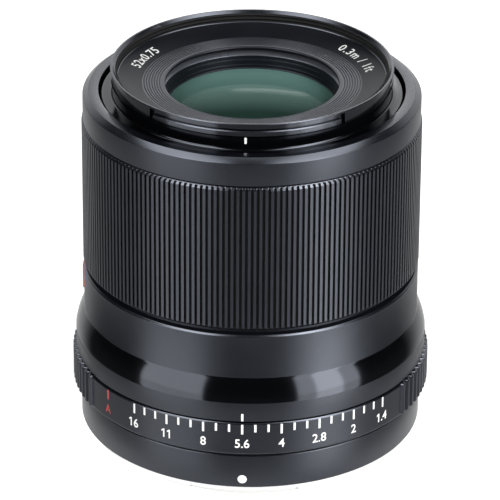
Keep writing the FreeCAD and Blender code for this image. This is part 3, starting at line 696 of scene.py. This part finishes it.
# %% Front band and rear barrel
SHELL_BORE = 29.75
shell_radius, shell_bottom, shell_top = span("front_shell")
front_band = turned("front_band", eased([
    (SHELL_BORE, shell_bottom, 0.05),
    (shell_radius, shell_bottom, 0.1),
    (shell_radius, shell_top - 0.95, 0.08),
    (shell_radius - 1.15, shell_top, 0.08),
    (SHELL_BORE, shell_top, 0.06),
], steps=5))
dress(front_band, "satin_black", "barrel", ["front_shell"])
cut_edges(front_band, shell_top - 0.95, shell_top + 1)

REAR_BORE = 31.0
rear_radius, rear_bottom, rear_top = span("rear_barrel")
rear_edge = rear_top - 0.45
rear_wall = rear_radius - 0.04
rear_band = turned("rear_band", eased([
    (REAR_BORE, rear_bottom, 0.05),
    (rear_wall, rear_bottom, 0.08),
    (rear_wall, rear_edge - 0.3, 0.04),
    (rear_radius - 0.3, rear_edge, 0.04),
    (rear_radius - 1.0, rear_edge, 0.05),
    (rear_radius - 1.0, rear_top, 0.05),
    (REAR_BORE, rear_top, 0.05),
]))
dress(rear_band, "satin_black", "barrel", ["rear_barrel"])
cut_edges(rear_band, rear_edge - 0.35, rear_edge - 0.01)

# %% [markdown]
# ## The filter ring
# The rim has a 52 mm thread inside and three bayonet pockets outside, each with a lug in it. Along
# the profile the radius depends on which zone an angle is in: plain rim, open pocket, or lug.
# So each point of the profile has three radii, and the angle picks one. The thread is a groove
# whose depth is a triangle wave of height over pitch plus angle over a full turn, which makes a
# true helix that joins up with itself.

# %% Filter ring
POCKETS = 3
POCKET_HALF = 42.2
LUG_HALF = 40.7
EDGE = 0.06
THREAD_DEPTH = 0.36
THREAD_LOW = -2.16
THREAD_HIGH = -0.5

def zones(angles):
    """0 on the plain rim, 1 in an open pocket and 2 on a lug, from the angle to the pocket's
    middle."""
    spacing = 360 / POCKETS
    off = np.abs((angles + spacing / 2) % spacing - spacing / 2)
    return np.where(off > POCKET_HALF, 0, np.where(off > LUG_HALF, 1, 2))

def rim_columns():
    """Even steps round the rim, with two close columns at each edge of a pocket or lug."""
    edges = [edge + 360 / POCKETS * i for i in range(POCKETS)
             for edge in (-POCKET_HALF, -LUG_HALF, LUG_HALF, POCKET_HALF)]
    pairs = [edge + side for edge in edges for side in (-EDGE, EDGE)]
    return np.unique(np.round(np.concatenate([np.arange(360), np.array(pairs) % 360]), 4))

def make_filter_ring():
    """Rim, pockets and lugs down the outside, then the bore and the thread up again. A row is
    the radius of each zone and a height below the rim; a row of two numbers is round."""
    angles = rim_columns()
    deep, lug, plain, neck, ledge = 26.75, 27.33, 27.4, 27.0, span("filter_ring")[0]
    bottom = span("filter_ring")[1] - RIM
    rows = [(26.45, THREAD_HIGH), (26.95, 0), (27.28, 0.0), (plain, -0.12), (plain, -0.3),
            (plain, deep, deep, -0.31), (plain, deep, deep, -1.5), (plain, deep, lug - 0.18, -1.51),
            (plain, deep, lug, -1.69), (plain, deep, lug, -2.52),
            (plain - 0.06, deep, lug - 0.06, -2.6), (26.7, -2.62), (26.7, -2.84),
            (neck - 0.05, -2.86), (neck, -2.92), (neck, -4.85)]
    rows += [(neck + 0.4 * (1 - math.cos(a)), -4.9 - 0.6 * math.sin(a))
             for a in np.linspace(0.2, math.pi / 2, 5)]
    rows += [(ledge - 0.22, -5.5), (ledge, -5.72), (ledge, bottom), (26.4, bottom), (26.4, -2.3),
             (THREAD_RADIUS, -2.22)]
    table = np.array([row if len(row) == 4 else (row[0],) * 3 + (row[1],) for row in rows])
    heights = np.arange(THREAD_LOW, THREAD_HIGH, THREAD_PITCH / 8)
    wave = np.abs((heights[:, None] / THREAD_PITCH + angles[None, :] / 360) % 1 * 2 - 1)
    rows = [*zip(table[:, zones(angles)], RIM + table[:, 3]),
            *zip(THREAD_RADIUS + THREAD_DEPTH * wave, RIM + heights)]
    return stacked("rim_ring", rows, angles, 25)

rim_ring = make_filter_ring()
dress(rim_ring, "ring_black", "barrel", ["filter_ring"])
cut_edges(rim_ring, RIM - 1.8, RIM + 1, 26.4)
refinish(rim_ring, "matt_black", RIM - 2.3, RIM - 0.45, 25.0, 26.42)

# %% [markdown]
# ## The ring round the glass
# Inside the thread a shallow funnel leads down to the glass. Its outer part is smooth and carries
# size marks. Then come seven fine grooves that trap stray light, and a raised lip. The grooves
# are cut into the profile itself, because a bump alone would vanish at this low angle of view.

# %% Funnel with fine grooves
GROOVES = 7
GROOVE_OUTER = 21.0
GROOVE_STEP = 0.5
GROOVE_DEPTH = 0.14
GROOVE_FALL = 0.012
FUNNEL_FLOOR = -3.6
FUNNEL_TOP = -2.24

def make_funnel():
    """Smooth cone, grooves from the outside in, and a raised lip. Each groove is four points
    that drop by its depth, and each one starts a little lower than the one before."""
    outer = span("name_ring")[0] - 0.15
    bottom = span("name_ring")[1] - RIM
    profile = [(outer, FUNNEL_TOP + 0.16), (outer - 0.16, FUNNEL_TOP),
               (GROOVE_OUTER + 0.25, FUNNEL_FLOOR + 0.12)]
    for i in range(GROOVES):
        edge = GROOVE_OUTER - i * GROOVE_STEP
        height = FUNNEL_FLOOR + 0.1 - i * GROOVE_FALL
        profile += [(edge, height), (edge - 0.05, height - GROOVE_DEPTH),
                    (edge - 0.11, height - GROOVE_DEPTH), (edge - 0.16, height - 0.005)]
    profile += [(17.45, FUNNEL_FLOOR), (17.2, FUNNEL_FLOOR + 0.05),
                (16.9, FUNNEL_FLOOR - 0.02), (16.8, FUNNEL_FLOOR - 0.14), (16.8, bottom),
                (outer, bottom)]
    profile = np.array(profile)
    profile[:, 1] += RIM
    return turned("front_funnel", eased(profile, cut=0.03, steps=2))

front_funnel = make_funnel()
dress(front_funnel, "inner_black", "barrel", ["name_ring"])
cut_edges(front_funnel, RIM - 2.23, RIM, 25.0)
# The lands that look up get a paler colour: a painted highlight for the light that falls on them.
refinish(front_funnel, "land_painted_highlight", RIM - 3.8, RIM, 17.0, GROOVE_OUTER + 0.3, 0.8)

# %% [markdown]
# ## The retaining ring and the front element
# Below the funnel's edge one chamfer looks up into the light, and its brightness is painted on as
# a paler grey finish: a painted highlight. Then dark steps go down to the glass. The front element
# of such a lens is a meniscus: gently domed in front and strongly hollow behind, so that it makes
# a small image of what lies below. Each face is a slice of a sphere, whose height changes by R
# less the root of R squared less r squared.

# %% Retaining ring
def make_retainer():
    """Bevel and steps from the funnel's edge down to the mouth in front of the glass."""
    glass_edge = span("front_retainer")[1] - RIM
    corners = [(18.8, glass_edge, 0.02), (18.8, -4.8, 0.02), (18.0, -4.85, 0.05),
               (17.0, -5.5, 0.05), (17.0, -6.3, 0.05), (16.7, -6.35, 0.03), (16.7, -7.2, 0.03),
               (16.4, -7.25, 0.03), (16.4, -7.8, 0.03), (GLASS_MOUTH, glass_edge + 0.1, 0.02),
               (GLASS_MOUTH, glass_edge, 0.02)]
    profile = [(radius, RIM + height, cut) for radius, height, cut in corners]
    return turned("glass_retainer", eased(profile))

glass_retainer = make_retainer()
dress(glass_retainer, "inner_black", "barrel", ["front_retainer"])
# The bevel that looks up gets a paler grey: a painted highlight.
refinish(glass_retainer, "bevel_painted_highlight", RIM - 5.6, RIM - 4.7, 16.8, 19.0, 0.2)

# %% Lens elements
def dome(radius, rise, steps=24):
    """Radii and heights over a spherical cap from the axis to the edge, where the height is 0.
    The rise is the height on the axis, and a rise below 0 makes a hollow."""
    sphere = (radius**2 + rise**2) / (2 * abs(rise))
    r = np.linspace(0, radius, steps)
    return r, math.copysign(1, rise) * (np.sqrt(sphere**2 - r**2) - (sphere - abs(rise)))

def element(name, radius, bottom, top, front_rise, rear_rise, lands=(0.1, 0.1), columns=160):
    """Lens element: a front cap and a rear cap, each inside a flat land, and a round edge."""
    r, front = dome(radius - lands[0], front_rise)
    rear_r, back = dome(radius - lands[1], rear_rise)
    profile = np.concatenate([
        np.stack([r, top + front], -1),
        [[radius, top], [radius, bottom]],
        np.stack([rear_r[::-1], bottom + back[::-1]], -1),
    ])
    return turned(name, profile, columns, close_rows=False, crease=50)

REAR_HOLLOW = 3.6
REAR_LAND = 4.6
glass_radius, glass_bottom, glass_top = span("front_element")
glass_edge = span("front_retainer")[1]
front_glass = element("front_glass", glass_radius, glass_bottom, glass_edge, glass_top - glass_edge,
                      REAR_HOLLOW, (glass_radius - GLASS_MOUTH, REAR_LAND))
dress(front_glass, "coated_glass", "barrel", ["front_element"])

# %% Inner elements
INNER_RISE = 1.6

def inner_element(node, i, thickness, gap):
    """One element of a group, counted from the group's bottom."""
    radius, bottom, _ = span(node)
    low = bottom + i * (thickness + gap)
    return element(f"{node}_{i + 1}", radius - 0.05, low, low + thickness - INNER_RISE,
                   INNER_RISE, 0.8, (0.4, 0.4))

for node, body, thickness, gap in (("front_group_glass", "barrel", 4.0, 3.5),
                                   ("focus_group_glass", "focus_group", 3.4, 1.0),
                                   ("rear_group_glass", "barrel", 4.0, 4.0)):
    stack = [inner_element(node, i, thickness, gap) for i in range(2)]
    for piece in stack:
        dress(piece, "inner_glass_painted_shade", body)
    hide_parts(node)

# %% [markdown]
# ## The scale
# The aperture scale has a full stop every 12.5 degrees and marks at each third. Long marks stand
# at the numbers. The numbers themselves are plain dial numbers. The automatic position is a red
# mark and letter, one full stop past the smallest opening.

# %% Marks on the aperture ring
STOP_ANGLE = 12.52
STOPS = ("16", "11", "8", "5.6", "4", "2.8", "2", "1.4")
FIRST_STOP = -3 * STOP_ANGLE
MARK_WIDTH = 0.44
LONG_MARK = 2.1
SHORT_MARK = 1.65
NUMBER_SIZE = 2.62
NUMBER_DROP = 4.45
NUMBER_SQUEEZE = 0.93
NUMBER_WEIGHT = 0.03
mark_top = ring_top - 0.3
STROKE_ACROSS = np.array([0.06, -0.38, -0.38, 0.06])
STROKE_DOWN = np.array([0.0, 0.3, 0.64, 0.38])

def join(pieces, name):
    """Joins pieces into one object, so that a scale is one piece and not thirty."""
    shape = bmesh.new()
    for piece in pieces:
        shape.from_mesh(piece.data)
        report.pop(piece.name, None)
        bpy.data.objects.remove(piece)
    mesh = bpy.data.meshes.new(name)
    shape.to_mesh(mesh)
    shape.free()
    return add_piece(name, mesh)

def on_ring(angle, height):
    """Placing function for text on the aperture ring: across becomes an angle."""
    def place(across, upward, lift):
        """Points on the scale face."""
        turned_by = np.degrees(across * NUMBER_SQUEEZE / SCALE_RADIUS)
        return around(SCALE_RADIUS + lift, angle + turned_by, height + upward)
    return place

def strokes_of_ones(name, text, size, place, weight):
    """Small slanted strokes at the tops of the ones, which are bare bars in this font. Each sign
    starts where a face's left end lies right of all that the faces before it reach."""
    mesh, points = letters(name, text, size, weight=weight)
    corner_across = points[fetch(mesh.loops, "vertex_index", kind=np.int32), 0]
    start = fetch(mesh.polygons, "loop_start", kind=np.int32)
    left = np.minimum.reduceat(corner_across, start)
    order = np.argsort(left)
    reach = np.maximum.accumulate(np.maximum.reduceat(corner_across, start)[order])
    starts = left[order][np.concatenate([[True], left[order][1:] > reach[:-1] + 0.02])]
    top = points[:, 1].max()
    pieces = []
    for at in (at for sign, at in zip(text, starts) if sign == "1"):
        across = np.tile(at + STROKE_ACROSS, 2)
        upward = np.tile(top - STROKE_DOWN, 2)
        stroke = bpy.data.meshes.new(f"{name}_stroke_{len(pieces)}")
        faces = [(0, 1, 2, 3), (7, 6, 5, 4), (0, 4, 5, 1), (1, 5, 6, 2), (2, 6, 7, 3), (3, 7, 4, 0)]
        stroke.from_pydata(place(across, upward, np.repeat([FILM, 0.0], 4)), [], faces)
        settle(stroke, FILM_CREASE)
        pieces.append(put_in_scene(stroke.name, stroke))
    bpy.data.meshes.remove(mesh)
    return pieces

marks = []
for i in range(3 * (len(STOPS) - 1) + 1):
    length = SHORT_MARK if i % 3 else LONG_MARK
    angle = FIRST_STOP + STOP_ANGLE / 3 * i
    marks.append(film(f"mark_{i}", angle, SCALE_RADIUS, mark_top - length, mark_top, MARK_WIDTH))
dress(join(marks, "scale_marks"), "white_paint", "aperture_ring")
numbers = []
for i, text in enumerate(STOPS):
    place = on_ring(FIRST_STOP + STOP_ANGLE * i, ring_top - NUMBER_DROP)
    numbers.append(print_text(f"number_{i}", text, NUMBER_SIZE, place, weight=NUMBER_WEIGHT))
    numbers += strokes_of_ones(f"number_{i}_ones", text, NUMBER_SIZE, place, NUMBER_WEIGHT)
dress(join(numbers, "scale_numbers"), "white_paint", "aperture_ring")
auto_angle = FIRST_STOP - STOP_ANGLE
auto_mark = film("auto_mark", auto_angle, SCALE_RADIUS, mark_top - LONG_MARK, mark_top, MARK_WIDTH)
place = on_ring(auto_angle, ring_top - NUMBER_DROP)
auto_letter = print_text("auto_letter", "A", NUMBER_SIZE, place)
dress(join([auto_mark, auto_letter], "auto_setting"), "red_paint", "aperture_ring")

# %% Fixed marks
index_mark = film("belt_index", 0, BELT_RADIUS, belt_bottom + 0.1, belt_bottom + 1.7, MARK_WIDTH)
rim_index = film("rim_index", 0, 27.0, RIM - 4.19, RIM - 2.93, MARK_WIDTH)
mount_dot = dot("mount_dot", 0, rear_wall - 0.005, rear_bottom + 1.74, 0.9, lift=0.04)
for piece in (index_mark, rim_index, mount_dot):
    dress(piece, "white_paint", "barrel")

# %% [markdown]
# ## Size marks on the funnel
# The marks lie on a cone, with their tops outwards, and read clockwise from above. Across becomes
# an angle, up becomes radius, and the height follows the cone.

# %% Marks on the funnel
FUNNEL_TEXT_RADIUS = 23.35
FUNNEL_TEXT_SIZE = 2.7

def funnel_height(radius):
    """Height of the smooth part of the funnel: a straight line between its two edges."""
    outer = span("name_ring")[0] - 0.15
    inner = GROOVE_OUTER + 0.25
    share = (radius - inner) / (outer - inner)
    return RIM + (FUNNEL_FLOOR + 0.12) * (1 - share) + FUNNEL_TOP * share

def on_funnel(angle):
    """Placing function for text on the funnel, clockwise from above with its top outwards."""
    def place(across, upward, lift):
        """Points on the cone."""
        radius = FUNNEL_TEXT_RADIUS + upward
        turned_by = angle - np.degrees(across / FUNNEL_TEXT_RADIUS)
        return around(radius, turned_by, funnel_height(radius) + lift)
    return place

left_mark = print_text("thread_size", "52x0.75", FUNNEL_TEXT_SIZE, on_funnel(-112.5), 1.1, 0.03)
right_mark = print_text("near_limit", "0.3m / 1ft", FUNNEL_TEXT_SIZE, on_funnel(118.5), 1.2, 0.03)
for piece in (left_mark, right_mark):
    dress(piece, "white_paint", "barrel")

# %% [markdown]
# ## The badge place
# On the left side a small red plate sits in the barrel. It is left bare. A pillow shape with a
# soft border looks like cast enamel.

# %% Badge
badge_low, badge_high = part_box("side_badge")
badge = film("badge_plate", -95.0, BODY_RADIUS + 0.01, badge_low.z / MM, badge_high.z / MM, 8.06,
             lift=0.3, steps=(16, 8), border=0.25)
dress(badge, "red_enamel", "barrel", ["side_badge"])

# %% [markdown]
# ## The camera mount
# The mount is a turned ring of chromed brass: a flange that lies against the camera, a tube with
# four lugs, and screws from behind. The lugs are closed plates in the same film form, only
# thicker, and each screw has a cross in its head.

# %% Mount
flange_radius, mount_bottom, flange_front = span("mount_ring")
FLANGE_REAR = 5.0
TUBE_RADIUS = 25.7
TUBE_BORE = 24.0
LUGS = 4
LUG_ANGLE = 44.0
mount = turned("mount_plate", eased([
    (TUBE_BORE, mount_bottom, 0.25),
    (TUBE_RADIUS, mount_bottom, 0.3),
    (TUBE_RADIUS, FLANGE_REAR, 0.1),
    (flange_radius, FLANGE_REAR, 0.2),
    (flange_radius, flange_front, 0.15),
    (TUBE_BORE, flange_front, 0.05),
]))
lugs = [film(f"lug_{i}", 360 / LUGS * (i + 0.5), TUBE_RADIUS - 0.2, mount_bottom + 0.6,
             mount_bottom + 2.2, math.radians(LUG_ANGLE) * TUBE_RADIUS, lift=1.7, steps=(24, 2),
             border=0.12) for i in range(LUGS)]
dress(mount, "chrome", "barrel", ["mount_ring"])
dress(join(lugs, "mount_lugs"), "chrome", "barrel")

# %% Screws with a cross
SCREW_HEAD = 1.5
SCREW_CIRCLE = 29.3
SCREWS = 4
CROSS_WIDTH = 0.26
CROSS_LENGTH = 0.85
CROSS_DEPTH = 0.35

def beside(centre, x, y, height):
    """Points beside a centre at a height, all in millimetres, as a grid in metres."""
    return np.stack(np.broadcast_arrays(centre[0] + x, centre[1] + y, height), -1) * MM

def screw(name, angle, rings=9, columns=40):
    """Flat screw head that looks down: the depth is a smooth cross, the larger of two bars."""
    share = np.linspace(0, 1, rings)[:, None]
    x, y = disc(share, SCREW_HEAD, columns)
    bars = [np.clip((CROSS_WIDTH - np.abs(a)) / 0.12, 0, 1)
            * np.clip((CROSS_LENGTH - np.abs(b)) / 0.15, 0, 1) for a, b in ((x, y), (y, x))]
    face = 0.12 * (1 - share**6) - CROSS_DEPTH * np.maximum(*bars)
    centre = around(SCREW_CIRCLE, angle, FLANGE_REAR) / MM
    grid = np.concatenate([beside(centre, x, y, centre[2] - 0.02 - face),
                           beside(centre, x[::-1], y[::-1], centre[2] + 0.4)])
    return skin(name, grid, close_rows=False, crease=30)

heads = [screw(f"screw_{i}", 360 / SCREWS * i + 20) for i in range(SCREWS)]
dress(join(heads, "mount_screws"), "steel", "barrel")

# %% [markdown]
# ## The rear baffle and contacts
# A rectangular window with round corners keeps stray light off the sensor. Its ring is a grid
# that runs from a circle outside to a rounded rectangle inside: the inner edge is the point
# where a ray meets the rectangle raised to a high power.

# %% Rear baffle
WINDOW_HALF_X = 12.0
WINDOW_HALF_Y = 8.5
WINDOW_POWER = 7

def window_radius(angles, half_x, half_y):
    """Radius of a rounded rectangle at an angle: (|x|/a)^p + (|y|/b)^p is one on its edge."""
    x = np.abs(np.sin(np.radians(angles))) / half_x
    y = np.abs(np.cos(np.radians(angles))) / half_y
    return (x**WINDOW_POWER + y**WINDOW_POWER) ** (-1 / WINDOW_POWER)

def make_baffle():
    """Ring from a circle outside to the window's edge inside, over a shallow step."""
    outer, bottom, top = span("rear_cover")
    angles = np.arange(240) * 1.5
    edge = window_radius(angles, WINDOW_HALF_X, WINDOW_HALF_Y)
    rim = np.full_like(edge, outer - 0.03)
    step = edge * 0.35 + rim * 0.65
    rows = [(rim, bottom + 0.15), (rim - 0.15, bottom), (step, bottom),
            (step - 0.2, bottom + 0.25), (edge + 0.8, bottom + 0.25),
            (edge + 0.5, bottom + 0.5), (edge + 0.02, bottom + 0.6), (edge, bottom + 0.8),
            (edge, top), (rim, top)]
    return stacked("rear_baffle", rows, angles, 35)

dress(make_baffle(), "moulding", "barrel", ["rear_cover"])

# %% Contact tips
CONTACTS = 11
CONTACT_CIRCLE = 22.2
CONTACT_RADIUS = 0.6
CONTACT_STEP = 5.4
CONTACT_DEPTH = 0.25

def contact(name, angle):
    """Domed tip: the height over the face falls with the square of the distance."""
    share = np.array([0, 0.5, 0.85, 1.0, 1.0])[:, None]
    x, y = disc(share, CONTACT_RADIUS, 20)
    drop = np.array([0, 0.03, 0.09, 0.16, CONTACT_DEPTH])[:, None]
    centre = around(CONTACT_CIRCLE, angle, 0) / MM
    grid = np.concatenate([beside(centre, x, y, drop),
                           beside(centre, 0 * x[:1], 0 * y[:1], CONTACT_DEPTH)])
    return skin(name, grid, close_rows=False, crease=40)

first_tip = 180 - CONTACT_STEP * (CONTACTS - 1) / 2
tips = [contact(f"tip_{i}", first_tip + CONTACT_STEP * i) for i in range(CONTACTS)]
dress(join(tips, "contact_tips"), "gold_contact", "barrel", ["contact_pads"])

# %% [markdown]
# ## The nodes that stay
# The pieces inside the lens keep the shape that they have in the frame. They get the same
# finishes as the new pieces, by assignment to their own material slots.

# %% Finishes for the frame's own nodes
kept = {"contact_block": "moulding", "front_cell": "matt_black", "iris_housing": "matt_black",
        "iris_drive_ring": "moulding", "focus_carriage": "moulding", "guide_rods": "steel",
        "lead_screw": "steel", "focus_motor": "steel", "rear_cell": "matt_black",
        "main_board": "board"}
kept.update({name: "blade_black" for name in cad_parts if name.startswith("iris_blade_")})
for name, material in kept.items():
    coat_mesh(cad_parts[name], material)
print("nodes that keep their shape:", len(kept))

# %% [markdown]
# ## Floor, background and light
# The photograph has a white ground, one large soft lamp on each side and darkness in front, which
# is why the glossy flare is black in the middle with a bright stripe on either side. The walls of
# the lens mirror the table and not the room, because the camera looks down on it. They show the
# same two stripes, so the table must be polished and mirror the lamps. Close to the foot it is
# plain white. From below the floor is clear, so that the mount can be looked at.

# %% Masks for the stage
PAPER_RADIUS = 0.0456
PAPER_SOFT = 0.0006

def smooth_range(value, low, high):
    """Goes smoothly from 0 to 1 while the value goes from the low to the high end."""
    return add_node(value.id_data, "MapRange", {"Value": value, "From Min": low, "From Max": high},
                    interpolation_type="SMOOTHSTEP").outputs["Result"]

def band(value, rise, fall):
    """1 between a smooth rise and a smooth fall, and 0 outside them."""
    return times(smooth_range(value, *rise), minus(1.0, smooth_range(value, *fall)))

# %% Floor
FLOOR_SIZE = 6.0
FLOOR_RINGS = 12
FLOOR_COLOUR = (0.80, 0.80, 0.80, 1)
FLOOR_GLOW = 0.62
PAPER_GLOW = 0.35
ROOM_GLOW = 0.16
POLISH_STEEP = 0.40
POLISH_LEVEL = 0.98
POLISH_ROUGHNESS = 0.14
POLISH_FACING = (0.45, 0.75)

def floor_material():
    """Pale floor. Camera and transmission rays see it lifted to white with its shadow kept, and
    mirrors see white paper at the foot and a polished table further out. The share of polish
    rises from its steep to its level value as the ray comes in flatter, as on real varnish."""
    material, tree, shader = new_material("pale_floor")
    radius = level_length(add_node(tree, "TexCoord").outputs["Object"])[0]
    outside = smooth_range(radius, PAPER_RADIUS - PAPER_SOFT, PAPER_RADIUS + PAPER_SOFT)
    path = add_node(tree, "LightPath").outputs
    seen = larger(path["Is Camera Ray"], path["Is Transmission Ray"])
    near = times(minus(1.0, outside), PAPER_GLOW)
    mirrored = times(path["Is Glossy Ray"], plus(near, ROOM_GLOW))
    set_inputs(shader, {
        "Base Color": FLOOR_COLOUR, "Roughness": 0.6, "Emission Color": (1, 1, 1, 1),
        "Emission Strength": plus(times(seen, FLOOR_GLOW), mirrored)})
    mirror = add_node(tree, "BsdfGlossy", {"Roughness": POLISH_ROUGHNESS})
    flatness = smooth_range(add_node(tree, "LayerWeight").outputs["Facing"], *POLISH_FACING)
    polish = plus(times(flatness, POLISH_LEVEL - POLISH_STEEP), POLISH_STEEP)
    far = times(path["Is Glossy Ray"], outside, polish)
    table = add_node(tree, "MixShader", {0: far, 1: shader.outputs[0], 2: mirror.outputs[0]})
    from_below = add_node(tree, "NewGeometry").outputs["Backfacing"]
    clear = add_node(tree, "BsdfTransparent")
    one_sided = add_node(tree, "MixShader", {
        0: from_below, 1: table.outputs[0], 2: clear.outputs[0]})
    set_inputs(tree.nodes["Material Output"], {"Surface": one_sided.outputs[0]})
    return material

def make_floor():
    """Round floor: a flat grid of rings from the centre out, turned so that its faces look up."""
    x, y = disc(np.linspace(0, 1, FLOOR_RINGS)[:, None] ** 2, FLOOR_SIZE, 96)
    floor = skin("floor", np.stack([x, -y, 0 * x], -1), close_rows=False)
    floor.data.materials.append(floor_material())

make_floor()

# %% World
STRIP = 5.0
OVERHEAD = 3.8
ROOM = 0.015
ZENITH = 1.3
FILL = 0.22
STRIP_UP = (0.32, 0.36), (0.33, 0.41)
STRIP_BACK = (0.9945, 0.9985)
BACKDROP_UP = (0.45, 0.62)
BACKDROP_BACK = (0.45, 0.8)
WINGS_UP = (0.72, 0.80), (0.93, 0.97)
WINGS_BACK = (-0.95, -0.8), (0.4, 0.7)
ZENITH_UP = (0.965, 0.985)

def make_world():
    """White for camera rays. Mirrors and glass see a white backdrop low behind the lens with a
    narrow bright strip in it, soft lights high at the sides and a dark room elsewhere, and the
    rest get a plain dim fill. A place is how far a direction points up and, of its level part,
    how far it points back."""
    world = bpy.data.worlds.new("studio")
    bpy.context.scene.world = world
    world.use_nodes = True
    tree = world.node_tree
    length, y, z = level_length(add_node(tree, "TexCoord").outputs["Generated"])
    back = over(y, length)
    strip = times(band(z, *STRIP_UP), smooth_range(back, *STRIP_BACK), STRIP)
    low = minus(1.0, smooth_range(z, *BACKDROP_UP))
    backdrop = times(smooth_range(back, *BACKDROP_BACK), plus(low, strip))
    wings = times(band(back, *WINGS_BACK), band(z, *WINGS_UP), OVERHEAD)
    zenith = times(smooth_range(z, *ZENITH_UP), ZENITH)
    studio = larger(backdrop, wings, zenith, ROOM)
    path = add_node(tree, "LightPath").outputs
    mirrored = larger(path["Is Glossy Ray"], path["Is Transmission Ray"])
    seen = larger(times(mirrored, studio), path["Is Camera Ray"])
    dark = minus(1.0, larger(mirrored, path["Is Camera Ray"]))
    set_inputs(tree.nodes["Background"], {
        "Strength": plus(seen, times(dark, FILL)), "Color": (1, 1, 1, 1)})

make_world()

# %% Lamps
LAMP_DISTANCE = 0.8
LAMP_HEIGHT = 1.4
LAMP_SIDE = 50.0
LAMP_HALF_WIDTH = 21.0

def lamp(name, side, brightness, half_width=LAMP_HALF_WIDTH, distance=LAMP_DISTANCE):
    """Upright area lamp from the floor up, at an angle round from the camera. A lamp's power is
    pi times its area times its brightness, where 1 is the white of the picture."""
    data = bpy.data.lights.new(name, "AREA")
    data.shape = "RECTANGLE"
    data.size = 2 * distance * math.tan(math.radians(half_width))
    data.size_y = LAMP_HEIGHT
    data.energy = math.pi * data.size * data.size_y * brightness
    light = put_in_scene(name, data)
    angle = math.radians(side + CAMERA_TURN)
    away = Vector((math.sin(angle), -math.cos(angle), 0))
    light.location = away * distance + Vector((0, 0, LAMP_HEIGHT / 2))
    light.rotation_euler = away.to_track_quat("Z", "Y").to_euler()
    light.visible_camera = False

lamp("left_softbox", -LAMP_SIDE, 3.8)
lamp("right_softbox", LAMP_SIDE, 4.2)
lamp("right_hot_centre", LAMP_SIDE, 4.4, half_width=9.0, distance=LAMP_DISTANCE - 0.02)

# %% [markdown]
# ## Last settings
# The dressed lens has to stay inside the frame's own box. The view transform is set to Standard,
# and the pieces and their faces are counted.

# %% Set the view and count the pieces
scene_view = bpy.context.scene.view_settings
scene_view.view_transform = "Standard"
print("pieces:", len(report), "faces:", sum(report.values()))
